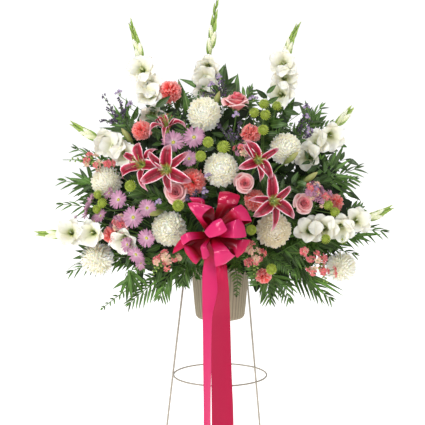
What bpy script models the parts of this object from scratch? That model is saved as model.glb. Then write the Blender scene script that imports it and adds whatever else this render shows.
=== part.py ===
"""A sympathy basket on its stand: mixed flowers and foliage set in floral foam, in a
ribbed pot that hangs by its rim in a three-legged wire stand, with a ribbon bow and two
long tails in front. Metres, +Z up. The front faces -Y, and the stand's feet are at z = 0.

Flower places are written as the front view shows them: x and z in centimetres where the
sight line from EYE meets the stand's own plane (y = 0), and how far in front of that
plane the piece is. sight() turns the three into a point."""

import math
import random

import bpy
from mathutils import Vector
from mathutils.bvhtree import BVHTree

CM = 0.01
MM = 0.001
UP = Vector((0, 0, 1))
FRONT = Vector((0, -1, 0))
EYE = Vector((-0.022, -3.0, 1.21))
# The middle of the whole part's outline on the floor, which becomes the origin.
MIDDLE = Vector((-0.0182, -0.0544, 0))

GAP = 0.3 * MM          # between pieces that touch
CLEAR = 0.8 * MM        # kept between one plant and the next

# Stand
WIRE_LEG = 2.5 * MM     # radius
WIRE_RING = 2.1 * MM    # radius
LEG_TOP_REACH = 100.1 * MM
LEG_SPREAD = 0.120      # metres outward for each metre down
LEG_TOP = 787 * MM
TOP_RING_HEIGHT = 785 * MM
LOW_RING_HEIGHT = 475 * MM
LEG_ANGLES = {"leg_left": 168, "leg_right": 42, "leg_front": 281}

# Pot
POT_BOTTOM = 638 * MM
POT_RIM = 793 * MM
FLANGE_UNDER = TOP_RING_HEIGHT + WIRE_RING + GAP
FLANGE_RADIUS = 101 * MM
FLUTES = 16
FLUTE_DEPTH = 0.9 * MM

# Foam and where the stems aim
HEART = Vector((0, 0, 0.83))
FOAM_REACH = 72 * MM
HOLE_DEPTH = 24 * MM
HOLE_PITCH = 8.6 * MM
STRAIGHT_OUT = 14 * MM      # how far a stem runs straight on past FOAM_REACH

# Radii of stems
SPIKE_STEM = 3.2 * MM
HEAD_STEM = 2.3 * MM
BUD_STEM = 1.9 * MM
SPRAY_STEM = 1.5 * MM
BOW_PICK = 1.8 * MM
FROND_RIB = 2.0 * MM
LEAF_STALK = 1.8 * MM

# Fronds
LONGEST_FROND = 260 * MM
FRONDS_START = 140 * MM     # from the heart

# Ribbon
RIBBON_THICK = 1.0 * MM
KNOT = (-2.8, 87.6, 23)
TAIL_SLANT = 22 * MM

COLOURS = {
    "stand wire": ((0.55, 0.52, 0.47), 0.45, 0.0),
    "pot": ((0.36, 0.31, 0.24), 0.7, 0.0),
    "foam": ((0.07, 0.16, 0.06), 0.95, 0.0),
    "ribbon": ((0.72, 0.02, 0.12), 0.3, 0.0),
    "white petal": ((0.85, 0.84, 0.72), 0.6, 0.0),
    "bud green": ((0.42, 0.55, 0.14), 0.55, 0.0),
    "cream mum": ((0.80, 0.76, 0.58), 0.65, 0.0),
    "lily crimson": ((0.55, 0.03, 0.10), 0.5, 0.0),
    "coral": ((0.86, 0.14, 0.11), 0.65, 0.0),
    "rose pink": ((0.86, 0.33, 0.32), 0.55, 0.0),
    "lavender": ((0.48, 0.24, 0.48), 0.6, 0.0),
    "pom green": ((0.30, 0.42, 0.05), 0.6, 0.0),
    "stock red": ((0.70, 0.10, 0.12), 0.6, 0.0),
    "aster lilac": ((0.36, 0.27, 0.48), 0.6, 0.0),
    "leaf": ((0.04, 0.15, 0.03), 0.5, 0.0),
}

planned = {}            # the pieces of each node, by its name
finished = []           # (node, low corner, high corner, search tree) of each piece placed
stems = {}              # the lines of each node's stems
holes = []              # (direction from the heart, radius) of each stem's hole in the foam
rng = random.Random(7)


def sight(x, z, depth):
    """The point that lines up with x and z on the stand's plane, in centimetres."""
    on_plane = Vector((x * CM, 0, z * CM))
    return EYE + (on_plane - EYE) * (1 - depth * CM / -EYE.y)


def square_to(direction, hint=UP):
    """Two unit vectors square to a direction and to each other."""
    side = direction.cross(hint)
    if side.length < 0.05:
        side = direction.cross(Vector((1, 0, 0)))
    side.normalize()
    return side, side.cross(direction).normalized()


def tangents(points):
    """The direction of travel at each point of a line."""
    steps = [(b - a).normalized() for a, b in zip(points, points[1:])]
    inner = [(a + b).normalized() for a, b in zip(steps, steps[1:])]
    return [steps[0]] + inner + [steps[-1]]


def loft(rings, flip=()):
    """A closed skin through rings of points. A ring of one point is a tip, and the
    strips named in flip are split along their other diagonal."""
    verts = []
    starts = []
    faces = []
    for ring in rings:
        starts.append(len(verts))
        verts.extend(ring)
    for a, b, start_a, start_b in zip(rings, rings[1:], starts, starts[1:]):
        count = max(len(a), len(b))
        for k in range(count):
            n = (k + 1) % count
            if len(a) == 1:
                faces.append((start_a, start_b + n, start_b + k))
            elif len(b) == 1:
                faces.append((start_a + k, start_a + n, start_b))
            elif k in flip:
                faces.append((start_a + k, start_a + n, start_b + k))
                faces.append((start_a + n, start_b + n, start_b + k))
            else:
                faces.append((start_a + k, start_a + n, start_b + n))
                faces.append((start_a + k, start_b + n, start_b + k))
    if len(rings[0]) > 1:
        faces.append(tuple(range(len(rings[0]) - 1, -1, -1)))
    if len(rings[-1]) > 1:
        faces.append(tuple(range(starts[-1], starts[-1] + len(rings[-1]))))
    return verts, faces


def tube(points, radii, sides=3):
    """A thin rod along points; a radius of 0 ends it in a tip."""
    along = tangents(points)
    side, _ = square_to(along[0])
    rings = []
    for point, way, radius in zip(points, along, radii):
        side = (side - way * side.dot(way)).normalized()
        other = way.cross(side)
        if radius == 0:
            rings.append([point])
            continue
        turn = [2 * math.pi * k / sides for k in range(sides)]
        rings.append([point + (side * math.cos(t) + other * math.sin(t)) * radius for t in turn])
    return loft(rings)


def blade(points, half_widths, thick, upper, cup=0.0):
    """A leaf or petal: a thin section along points, flat above with a keel below, and its
    edges raised by cup times the half width. A half width of 0 ends it in a tip."""
    rings = []
    for point, way, wide in zip(points, tangents(points), half_widths):
        if wide == 0:
            rings.append([point])
            continue
        side = way.cross(upper).normalized()
        face = side.cross(way).normalized()
        edge = point + face * (cup * wide + thick / 2)
        rings.append([edge - side * wide, point - face * (thick / 2), edge + side * wide])
    return loft(rings)


def band(left, right, thick):
    """A ribbon of even thickness between two lines of points."""
    middle = [(a + b) / 2 for a, b in zip(left, right)]
    rings = []
    for a, b, way in zip(left, right, tangents(middle)):
        face = (b - a).cross(way).normalized() * (thick / 2)
        rings.append([a + face, b + face, b - face, a - face])
    return loft(rings, flip={2})


def bud(base, tip, radius, sides=3):
    """A pointed bud, fattest a little below its middle."""
    return tube([base, base.lerp(tip, 0.45), tip], [0, radius, 0], sides)


def rosette(centre, axis, rings, count):
    """A closed flower head on an axis: rings of (radius, height, depth of the waves in
    radius and height) from its base to its middle, with count waves round it."""
    side, other = square_to(axis)
    skin = [[centre + axis * rings[0][1]]]
    for k, (radius, height, wave, lift) in enumerate(rings[1:-1]):
        ring = []
        for n in range(2 * count):
            turn = math.pi * n / count
            sign = 1 if (n + k // 2) % 2 == 0 else -1
            reach = radius + wave * sign
            ring.append(centre + (side * math.cos(turn) + other * math.sin(turn)) * reach
                        + axis * (height + lift * sign))
        skin.append(ring)
    skin.append([centre + axis * rings[-1][1]])
    return loft(skin)


def grafted(head, points, radius):
    """A head and its stem in one skin: the fan of faces round the head's first point, which
    is its base, is opened onto the stem's end."""
    verts, faces = head
    rod_verts, rod_faces = tube(points, [radius] * len(points))
    joined = verts + rod_verts
    corners = range(len(joined) - 3, len(joined))
    follow = {}
    skin = []
    for face in faces:
        if 0 in face:
            at = face.index(0)
            follow[face[at - 2]] = face[at - 1]
        else:
            skin.append(face)
    loop = [min(follow)]
    while follow[loop[-1]] != loop[0]:
        loop.append(follow[loop[-1]])
    around = len(loop)

    def owner(k, way, start):
        return corners[way * ((k + start) % around * 3 // around) % 3]

    def stretch(choice):
        return sum((joined[loop[k]] - joined[owner(k, *choice)]).length for k in range(around))

    way, start = min(((way, start) for way in (1, -1) for start in range(around)), key=stretch)
    for k, spot in enumerate(loop):
        after = loop[(k + 1) % around]
        mine = owner(k, way, start)
        other = owner((k + 1) % around, way, start)
        skin.append((mine, spot, after))
        if mine != other:
            skin.append((mine, after, other))
    for face in rod_faces[:-1]:
        shifted = [k + len(verts) for k in face]
        skin.append(tuple(shifted if way < 0 else reversed(shifted)))
    # The old base point is no longer used, so every number after it moves down by one.
    return joined[1:], [tuple(k - 1 for k in face) for face in skin]


def mum_head(centre, axis, radius, flat=0.86):
    """A dense round head: a smaller core with a petal standing out of each of its faces,
    each leaning toward the crown."""
    side, other = square_to(axis)
    around = 9
    bands = [138, 106, 76, 46, 18]
    core = radius * 0.70

    def spot(polar, turn, reach):
        out = (side * math.cos(turn) + other * math.sin(turn)) * math.sin(polar)
        return centre + (out + axis * (math.cos(polar) * flat)) * reach

    verts = [centre - axis * (core * flat)]
    faces = []
    for polar in bands:
        for n in range(around):
            verts.append(spot(math.radians(polar), 2 * math.pi * n / around, core))
    crown = len(verts)
    verts.append(centre + axis * (radius * 0.9 * flat))
    for n in range(around):
        m = (n + 1) % around
        faces.append((0, 1 + m, 1 + n))
        last = 1 + (len(bands) - 1) * around
        faces.append((last + n, last + m, crown))
    for row, (low, high) in enumerate(zip(bands, bands[1:])):
        for n in range(around):
            m = (n + 1) % around
            first = 1 + row * around
            corners = (first + n, first + m, first + around + m, first + around + n)
            lean = math.radians(low * 0.30 + high * 0.70)
            turn = 2 * math.pi * (n + 0.5 + rng.uniform(-0.2, 0.2)) / around
            tip = len(verts)
            verts.append(spot(lean, turn, radius * rng.uniform(0.94, 1.04)))
            for a, b in zip(corners, corners[1:] + corners[:1]):
                faces.append((a, b, tip))
    return verts, faces


def funnel(base, axis, length, radius, lobes, notch=0.62, flare=0.0):
    """An open flower: a funnel with pointed lobes and a sunken throat."""
    side, other = square_to(axis)

    def ring(count, radii, heights, phase=0.0):
        spots = []
        for n in range(count):
            turn = 2 * math.pi * n / count + phase
            reach = radii[n % len(radii)]
            rise = heights[n % len(heights)]
            spots.append(base + (side * math.cos(turn) + other * math.sin(turn)) * reach + axis * rise)
        return spots

    outer = ring(lobes, [radius * 0.30], [length * 0.5])
    rim = ring(2 * lobes, [radius, radius * notch], [length * (1 - flare), length * 0.96])
    verts = [base] + outer + rim + [base + axis * (length * 0.62)]
    first_rim = 1 + lobes
    throat = len(verts) - 1
    faces = []
    for k in range(lobes):
        n = (k + 1) % lobes
        tip = first_rim + 2 * k
        dip = tip + 1
        next_tip = first_rim + 2 * n
        faces.append((0, 1 + n, 1 + k))
        faces.append((1 + k, dip, tip))
        faces.append((1 + k, 1 + n, dip))
        faces.append((1 + n, next_tip, dip))
        faces.append((throat, tip, dip))
        faces.append((throat, dip, next_tip))
    return verts, faces


def daisy_head(centre, axis, petals, radius, eye=0.26, lift=0.12):
    """A daisy: blunt petals, a little cupped and cut in toward a raised eye."""
    side, other = square_to(axis)

    def spot(turn, reach, rise):
        return centre + (side * math.cos(turn) + other * math.sin(turn)) * reach + axis * rise

    step = 2 * math.pi / petals
    rise = radius * lift
    verts = [centre - axis * (radius * 0.32)]
    for k in range(petals):
        verts.append(spot(k * step - step * 0.5, radius * 0.42, rise * 0.4))
        verts.append(spot(k * step - step * 0.30, radius, rise))
        verts.append(spot(k * step + step * 0.30, radius, rise))
    eye_start = len(verts)
    for k in range(petals):
        verts.append(spot(k * step, radius * eye, radius * 0.13))
    top = len(verts)
    verts.append(centre + axis * (radius * 0.24))
    faces = []
    for k in range(petals):
        notch, left, right = (1 + 3 * k + j for j in range(3))
        next_notch = 1 + 3 * ((k + 1) % petals)
        eye_here = eye_start + k
        eye_next = eye_start + (k + 1) % petals
        for a, b in ((notch, left), (left, right), (right, next_notch)):
            faces.append((0, b, a))
            faces.append((eye_here, a, b))
        faces.append((eye_here, next_notch, eye_next))
        faces.append((eye_here, eye_next, top))
    return verts, faces


def frond(path, rib, leaflets, upper, first, name, fall=0.1, sweep=0.55):
    """A leaf cut to its rib: a thin arched rib with a pointed leaflet on each side of each
    of its steps from the one numbered first. leaflets is the longest one's length, fall how
    far its tip hangs for its length, and sweep its angle to a square one."""
    along = tangents(path)
    verts = []
    faces = []
    last = len(path) - 1
    for k, (point, way) in enumerate(zip(path, along)):
        side = way.cross(upper).normalized()
        face = side.cross(way).normalized()
        if k == last:
            verts.append(point)
            continue
        wide = rib * (1 - 0.7 * k / last)
        thick = max(0.8 * MM, wide * 0.55)
        for across, over in ((-1, 1), (1, 1), (1, -1), (-1, -1)):
            verts.append(point + side * (across * wide) + face * (over * thick / 2))
    faces.append((3, 2, 1, 0))
    for k in range(last):
        here = 4 * k
        there = here + 4
        tip_next = k == last - 1
        for a, b in ((0, 1), (2, 3)):
            if tip_next:
                faces.append((here + a, here + b, 4 * last))
            elif a == 0:
                faces.append((here + a, here + b, there + b))
                faces.append((here + a, there + b, there + a))
            else:
                faces.append((here + a, here + b, there + a))
                faces.append((here + b, there + b, there + a))
        for (top, low), across in (((3, 0), -1), ((1, 2), 1)):
            if tip_next:
                faces.append((here + top, here + low, 4 * last))
                continue
            quad = (here + top, here + low, there + low, there + top)
            tip = None
            if k >= first:
                tip = leaflet_tip(verts, quad, across, leaflets, along[k], upper, fall, sweep,
                                  (k - first + 0.5) / (last - first), name)
            if tip is None:
                faces.append((quad[0], quad[1], quad[2]))
                faces.append((quad[0], quad[2], quad[3]))
                continue
            verts.append(tip)
            for a, b in zip(quad, quad[1:] + quad[:1]):
                faces.append((a, b, len(verts) - 1))
    # The tip point stays numbered 4 * last, because it was added before any leaflet.
    return verts, faces


def leaflet_tip(verts, quad, across, longest, way, upper, fall, sweep, part, name):
    """Where a leaflet ends, shortened until it is clear of other plants, or None."""
    root = sum((verts[k] for k in quad), Vector()) / 4
    side = way.cross(upper).normalized() * across
    face = side.cross(way).normalized() * across
    swell = math.sin(math.pi * (0.25 + 0.75 * part))
    length = longest * (0.30 + 0.70 * swell) * rng.uniform(0.88, 1.08)
    aim = (side * math.cos(sweep) + way * math.sin(sweep) - face * (0.12 + 0.2 * rng.random())).normalized()
    for share in (1.0, 0.72, 0.5, 0.3):
        tip = root + aim * (length * share) - UP * (fall * length * share)
        corners = [verts[k] for k in quad] + [tip]
        shell = [(0, 1, 4), (1, 2, 4), (2, 3, 4), (3, 0, 4), (0, 3, 2, 1)]
        if not touches((corners, shell), skip=(name,)):
            return tip
    return None


def arc(start, way, end, count):
    """Points on a smooth bend that leaves start along way and ends at end."""
    reach = (end - start).length
    pull = start + way.normalized() * (reach * 0.45)
    points = []
    for k in range(count + 1):
        t = k / count
        points.append(start.lerp(pull, t).lerp(pull.lerp(end, t), t))
    return points


def grown(verts, faces, by):
    """The points moved out along their faces' mean direction."""
    push = [Vector() for _ in verts]
    for face in faces:
        a, b, c = (verts[k] for k in face[:3])
        direction = (b - a).cross(c - a)
        if direction.length > 0:
            for k in face:
                push[k] += direction.normalized()
    return [v + p.normalized() * by if p.length > 0 else v for v, p in zip(verts, push)]


def holds(tree, point):
    """Whether a closed surface holds a point."""
    way = Vector((0.13, 0.21, 0.97)).normalized()
    hits = 0
    spot = point
    while hits < 40:
        place, _, _, _ = tree.ray_cast(spot, way)
        if place is None:
            break
        hits += 1
        spot = place + way * 1e-5
    return hits % 2 == 1


def touches(piece, skip=(), clear=CLEAR):
    """Whether a piece comes nearer than clear to a finished node."""
    verts, faces = outward(piece)
    low = Vector(min(v[k] for v in verts) - clear for k in range(3))
    high = Vector(max(v[k] for v in verts) + clear for k in range(3))
    tree = None
    for name, other_low, other_high, other in finished:
        if name in skip or any(low[k] > other_high[k] or high[k] < other_low[k] for k in range(3)):
            continue
        if any(other.find_nearest(v, clear)[0] is not None for v in verts):
            return True
        if tree is None:
            tree = BVHTree.FromPolygons(grown(verts, faces, clear), faces)
            plain = BVHTree.FromPolygons(verts, faces)
        if other.overlap(tree) or other.overlap(plain) or holds(other, verts[0]):
            return True
    return False


def outward(piece):
    """The same piece with its faces turned outward."""
    verts, faces = piece
    volume = 0.0
    for face in faces:
        for k in range(1, len(face) - 1):
            volume += verts[face[0]].dot(verts[face[k]].cross(verts[face[k + 1]]))
    if volume < 0:
        faces = [tuple(reversed(face)) for face in faces]
    return verts, faces


def as_object(name, piece):
    """A mesh object made of one piece."""
    verts, faces = outward(piece)
    mesh = bpy.data.meshes.new(name)
    mesh.from_pydata([tuple(v) for v in verts], [], faces)
    mesh.update()
    obj = bpy.data.objects.new(name, mesh)
    bpy.context.scene.collection.objects.link(obj)
    return obj


def combined(base, others, operation):
    """The base object's mesh joined with, or cut by, the other pieces in one Boolean."""
    group = bpy.data.collections.new("pieces of " + base.name)
    bpy.context.scene.collection.children.link(group)
    for k, piece in enumerate(others):
        obj = as_object(f"{base.name} piece {k}", piece)
        bpy.context.scene.collection.objects.unlink(obj)
        group.objects.link(obj)
    modifier = base.modifiers.new("join", "BOOLEAN")
    modifier.operation = operation
    modifier.operand_type = "COLLECTION"
    modifier.collection = group
    # The pieces are many and cross at thin edges, which this solver joins surely and fast.
    modifier.solver = "MANIFOLD"
    bpy.context.view_layer.update()
    result = bpy.data.meshes.new_from_object(base.evaluated_get(bpy.context.evaluated_depsgraph_get()))
    base.modifiers.clear()
    base.data = result
    for obj in list(group.objects):
        bpy.data.objects.remove(obj)
    bpy.data.collections.remove(group)


def largest_island(mesh):
    """Drops loose scraps and splits faces into triangles."""
    mesh_faces = [tuple(p.vertices) for p in mesh.polygons]
    parent = list(range(len(mesh.vertices)))

    def root(k):
        while parent[k] != k:
            parent[k] = parent[parent[k]]
            k = parent[k]
        return k

    for face in mesh_faces:
        for k in face[1:]:
            parent[root(k)] = root(face[0])
    sizes = {}
    for face in mesh_faces:
        sizes[root(face[0])] = sizes.get(root(face[0]), 0) + 1
    if len(sizes) > 1:
        keep = max(sizes, key=sizes.get)
        used = [k for k in range(len(parent)) if root(k) == keep]
        number = {k: n for n, k in enumerate(used)}
        verts = [tuple(mesh.vertices[k].co) for k in used]
        faces = [tuple(number[k] for k in face) for face in mesh_faces if root(face[0]) == keep]
        mesh.clear_geometry()
        mesh.from_pydata(verts, [], faces)
        mesh.update()


def place(name, piece):
    """Adds a piece to its node, where later pieces stay clear of it. Returns its number."""
    verts, faces = outward(piece)
    planned.setdefault(name, []).append((verts, faces))
    keep_clear(name, (verts, faces))
    return len(planned[name]) - 1


def keep_clear(name, piece):
    """Notes where a piece is."""
    verts, faces = piece
    low = Vector(min(v[k] for v in verts) for k in range(3))
    high = Vector(max(v[k] for v in verts) for k in range(3))
    finished.append((name, low, high, BVHTree.FromPolygons(verts, faces)))


def material_of(colour):
    """The material of one colour, made once."""
    if colour not in bpy.data.materials:
        rgb, rough, metal = COLOURS[colour]
        material = bpy.data.materials.new(colour)
        material.use_nodes = True
        shader = material.node_tree.nodes["Principled BSDF"]
        shader.inputs["Base Color"].default_value = (*rgb, 1)
        shader.inputs["Roughness"].default_value = rough
        shader.inputs["Metallic"].default_value = metal
    return bpy.data.materials[colour]


def make(name, colour, sharp=40):
    """One node: its pieces joined into one body, with its material."""
    pieces = planned[name]
    obj = as_object(name, pieces[0])
    if len(pieces) > 1:
        combined(obj, pieces[1:], "UNION")
    if name == "foam":
        combined(obj, hole_cutters(), "DIFFERENCE")
    largest_island(obj.data)
    obj.data.name = name
    obj.location = -MIDDLE
    obj.data.materials.clear()
    obj.data.materials.append(material_of(colour))
    obj.data.shade_smooth()
    obj.data.set_sharp_from_angle(angle=math.radians(sharp))


def stem_to(target, radius, arrive=None, name="stem", bend=0.03):
    """A stem's points from its hole in the foam to target. It leaves the foam straight, at
    the first free place near its own direction, and arrives along arrive where given."""
    out = (target - HEART).normalized()
    side, other = square_to(out)
    tries = [(0.0, 0.0)]
    for spread in (5, 9, 13, 17, 22, 27, 33, 40, 48):
        tries += [(spread, 2 * math.pi * k / 10 + spread) for k in range(10)]
    for spread, turn in tries:
        tilt = math.tan(math.radians(spread))
        way = (out + (side * math.cos(turn) + other * math.sin(turn)) * tilt).normalized()
        leave = HEART + way * (FOAM_REACH + STRAIGHT_OUT)
        if leave.z < POT_RIM + STRAIGHT_OUT:
            continue
        inner = HEART + way * (FOAM_REACH - HOLE_DEPTH)
        if any((way - used).length * (FOAM_REACH - HOLE_DEPTH) < HOLE_PITCH * 0.5 + radius + size
               for used, size in holes):
            continue
        for pull in ((0.0,) if spread == 0 else (0.0, 0.35)):
            points = [inner, leave]
            if pull:
                points.append(leave.lerp(target, 0.5) + (way - out) * pull * (target - leave).length)
            if arrive is not None:
                points.append(target - arrive * bend)
            points.append(target)
            if touches(tube(points[:2], [radius] * 2), skip=("foam", name)):
                continue
            if not touches(tube(points[1:], [radius] * (len(points) - 1)), skip=(name,)):
                holes.append((way, radius))
                return points
    raise ValueError(f"{name} has no free way out of the foam")


def branch(name, start, target, radius, arrive=None, bend=0.015):
    """A side stem's points from a point on another stem to target, bent clear if it must."""
    side, other = square_to((target - start).normalized())
    reach = (target - start).length
    for pull in (0.0, 0.12, 0.22, 0.34):
        for k in range(8 if pull else 1):
            turn = math.pi * k / 4
            points = [start]
            if pull:
                middle = start.lerp(target, 0.5)
                points.append(middle + (side * math.cos(turn) + other * math.sin(turn)) * pull * reach)
            if arrive is not None and reach > 2 * bend:
                points.append(target - arrive * bend)
            points.append(target)
            if not touches(tube(points, [radius] * len(points)), skip=(name,)):
                return points
    return None


def way_to(name, end, radius, arrive=None):
    """The line of a new stem that ends at end. A node's first stem comes from the foam, and
    the others branch from the nearest places on it that leave a clear way."""
    if name not in stems:
        return stem_to(end, radius, arrive, name)
    spots = []
    for line in stems[name]:
        for a, b in zip(line[1:], line[2:]):
            spots += [a.lerp(b, k / 6) for k in range(6)]
    inside = [p for p in spots if (p - HEART).length < (end - HEART).length - 12 * MM]
    inside.sort(key=lambda p: (p - end).length)
    for spot in inside[:60:2]:
        points = branch(name, spot, end, radius, arrive)
        if points:
            return points
    return None


def connect(name, end, radius, arrive=None, head=None):
    """Grows a stem to end, in one skin with the head of that number. Returns whether it
    could."""
    points = way_to(name, end, radius, arrive)
    if points is None:
        return False
    stems.setdefault(name, []).append(points)
    rod = tube(points, [radius] * len(points))
    if head is None:
        place(name, rod)
    else:
        planned[name][head] = grafted(planned[name][head], points, radius)
        keep_clear(name, rod)
    return True


def facing(spot, toward_viewer=0.5, tilt=(0, 0, 0)):
    """The way a flower looks: outward from the heart, turned toward the viewer."""
    out = (spot - HEART).normalized()
    return (out * (1 - toward_viewer) + FRONT * toward_viewer + Vector(tilt)).normalized()


# Stand

def make_leg(name, angle):
    """A straight wire leg, cut flat at the floor."""
    turn = math.radians(angle)
    out = Vector((math.cos(turn), math.sin(turn), 0))
    rings = []
    for height in (0.0, LEG_TOP):
        reach = LEG_TOP_REACH + LEG_SPREAD * (TOP_RING_HEIGHT - height)
        centre = out * reach + UP * height
        corners = [2 * math.pi * k / 10 for k in range(10)]
        rings.append([centre + Vector((math.cos(t), math.sin(t), 0)) * WIRE_LEG for t in corners])
    place(name, loft(rings))


def ring_turns(count):
    """The angles of a ring's corners, about count in all, with one at each leg."""
    legs = sorted(math.radians(angle) for angle in LEG_ANGLES.values())
    turns = []
    for start, end in zip(legs, legs[1:] + [legs[0] + 2 * math.pi]):
        steps = round(count * (end - start) / (2 * math.pi))
        turns += [start + (end - start) * k / steps for k in range(steps)]
    return turns


def make_ring(name, height, sides=4):
    """A wire ring that the three legs are welded to on its outside."""
    radius = LEG_TOP_REACH + LEG_SPREAD * (TOP_RING_HEIGHT - height) - WIRE_LEG - WIRE_RING - GAP
    turns = ring_turns(28)
    verts = []
    faces = []
    for turn in turns:
        out = Vector((math.cos(turn), math.sin(turn), 0))
        for n in range(sides):
            lean = 2 * math.pi * n / sides
            reach = radius + WIRE_RING * math.cos(lean)
            verts.append(out * reach + UP * (height + WIRE_RING * math.sin(lean)))
    for k in range(len(turns)):
        for n in range(sides):
            here = k * sides
            there = (k + 1) % len(turns) * sides
            m = (n + 1) % sides
            faces.append((here + n, there + n, there + m, here + m))
    place(name, (verts, faces))


# Pot and foam

def turned(profile, count, flute_rows=()):
    """A turned body from (radius, height) rows, with flutes in the rows that are named."""
    rings = []
    for row, (radius, height) in enumerate(profile):
        if radius == 0:
            rings.append([Vector((0, 0, height))])
            continue
        ring = []
        for k in range(count):
            turn = 2 * math.pi * k / count
            reach = radius - (FLUTE_DEPTH if row in flute_rows and k % 2 else 0)
            ring.append(Vector((math.cos(turn) * reach, math.sin(turn) * reach, height)))
        rings.append(ring)
    return loft(rings)


def make_pot():
    """The ribbed pot: a thin shell with a flange that rests on the top ring."""
    profile = [(0, POT_BOTTOM), (60 * MM, POT_BOTTOM), (69 * MM, 647 * MM), (70.5 * MM, 652 * MM),
               (82.5 * MM, 781 * MM), (84 * MM, FLANGE_UNDER), (FLANGE_RADIUS, FLANGE_UNDER),
               (FLANGE_RADIUS, POT_RIM), (79.5 * MM, POT_RIM), (67 * MM, 652 * MM), (0, 646 * MM)]
    place("pot", turned(profile, 2 * FLUTES, flute_rows=(3, 4)))


def make_foam():
    """The block of floral foam that fills the pot and stands above its rim. The stems'
    holes are cut once every stem has its place."""
    profile = [(0, 647 * MM), (65.5 * MM, 653 * MM), (78 * MM, 790 * MM), (76 * MM, 815 * MM),
               (72 * MM, 845 * MM), (58 * MM, 877 * MM), (32 * MM, 894 * MM), (0, 898 * MM)]
    place("foam", turned(profile, 16))


def hole_cutters():
    """Plain holes in the foam, a little wider than the stems that stand in them."""
    cutters = []
    for way, radius in holes:
        inner = HEART + way * (FOAM_REACH - HOLE_DEPTH - GAP)
        outer = HEART + way * (FOAM_REACH + STRAIGHT_OUT - 2 * MM)
        wide = radius + 2 * GAP
        cutters.append(tube([inner, outer], [wide, wide]))
    return cutters


# Bow and tails

# Each loop is two ribbon edges that leave the knot, turn at a tip and come back: the tips'
# places, and how far the way out and the way back bulge apart, in centimetres.
LOOPS = [
    ((-8.8, 96.7, 26), (-1.9, 95.2, 28), (-1.5, 0.6, 0.8), (0.9, 1.2, 0.2)),
    ((-0.2, 99.6, 24), (5.6, 98.2, 23), (0.3, 2.0, 0.2), (0.3, 2.0, 0.2)),
    ((-4.2, 88.2, 27), (1.4, 91.2, 31.5), (-0.2, 0.2, 0.5), (-1.1, 0.3, 1.6)),
    ((-11.1, 87.2, 26), (-9.4, 84.2, 27), (0.2, 1.5, 1.2), (0.2, 1.5, 0.9)),
    ((-10.4, 83.6, 25), (-6.7, 78.8, 26), (-0.4, 1.6, 0.4), (-0.4, 1.6, 0.4)),
    ((-5.4, 85.6, 27), (-4.0, 80.7, 29), (0.6, 0.3, 0.1), (1.1, 0.6, 0.1)),
    ((-1.3, 78.2, 27), (4.4, 81.4, 28), (-0.7, 1.6, -0.3), (0.8, 1.6, 0.6)),
    ((6.0, 96.0, 26), (8.8, 91.0, 27), (0.4, 1.8, 0.7), (0.4, 1.8, 0.7)),
    ((4.6, 91.6, 27.5), (5.8, 86.0, 28.5), (-0.5, 0.9, 0.2), (-0.9, 1.5, 0.1)),
    ((8.6, 86.0, 25), (5.2, 80.8, 26), (0.6, 1.6, -0.2), (0.6, 1.6, -0.2)),
    ((-10.8, 86.4, 22), (-13.4, 81.6, 21.5), (0.3, 1.2, 0.8), (0.3, 1.2, 0.8)),
]
LOOP_STEPS = ((0.0, 0.12), (0.45, 0.95), (0.82, 1.0), (1.0, 0.0))
KNOT_RADIUS = 12 * MM


def loop_edge(tip, bulge, knot, root_shift):
    """One edge of a ribbon loop, out and back."""
    end = sight(*tip)
    puff = Vector((bulge[0] * CM, -bulge[1] * CM, bulge[2] * CM))
    lift = puff.normalized() * 2.2 * MM
    start = knot + (end - knot).normalized() * 8 * MM + root_shift
    points = []
    for sign, steps in ((1, LOOP_STEPS), (-1, LOOP_STEPS[-2::-1])):
        for share, swell in steps:
            shift = lift if share == 0 else puff * swell
            points.append(start.lerp(end, share) + shift * sign)
    return points


def make_bow():
    """The florist's bow: loops round a knot, on a pick that stands in the foam."""
    knot = sight(*KNOT)
    pick = stem_to(knot - FRONT * (KNOT_RADIUS / 2), BOW_PICK, name="bow pick")
    ball = [(0, -KNOT_RADIUS, 0, 0), (KNOT_RADIUS * 0.75, -KNOT_RADIUS * 0.6, 0, 0),
            (KNOT_RADIUS, 0, 0, 0), (KNOT_RADIUS * 0.7, KNOT_RADIUS * 0.7, 0, 0), (0, KNOT_RADIUS, 0, 0)]
    place("bow", rosette(knot, FRONT, ball, 3))
    place("bow", tube(pick, [BOW_PICK] * len(pick)))
    for tip_a, tip_b, bulge_a, bulge_b in LOOPS:
        across = (sight(*tip_b) - sight(*tip_a)).normalized() * 2.4 * MM
        left = loop_edge(tip_a, bulge_a, knot, -across)
        right = loop_edge(tip_b, bulge_b, knot, across)
        place("bow", band(left, right, RIBBON_THICK))


# Each row: height, then x and depth of the left edge and of the right edge, in centimetres.
TAILS = {
    "tail_left": [(85.6, -3.6, 21.2, -2.8, 21.4), (80, -4.6, 19.6, -1.9, 21.5), (72, -4.7, 18.6, -1.4, 22.2),
                  (60, -4.7, 18.4, -1.8, 22.6), (48, -4.6, 18.3, -2.5, 22.6), (36, -4.4, 18.3, -2.5, 22.6),
                  (26, -4.5, 18.3, -2.7, 22.5), (20.5, -4.4, 18.4, -2.9, 22.4)],
    "tail_right": [(85.6, -2.2, 21.6, -1.4, 21.4), (80, -1.3, 23.2, 0.6, 20.4), (72, -0.6, 24.0, 2.2, 20.2),
                   (60, -1.7, 24.0, 2.8, 20.0), (48, -2.2, 23.8, 3.2, 19.8), (36, -2.0, 23.7, 3.5, 19.6),
                   (24, -1.9, 23.6, 3.6, 19.5), (17.5, -1.8, 23.6, 3.6, 19.5)],
}


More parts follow.
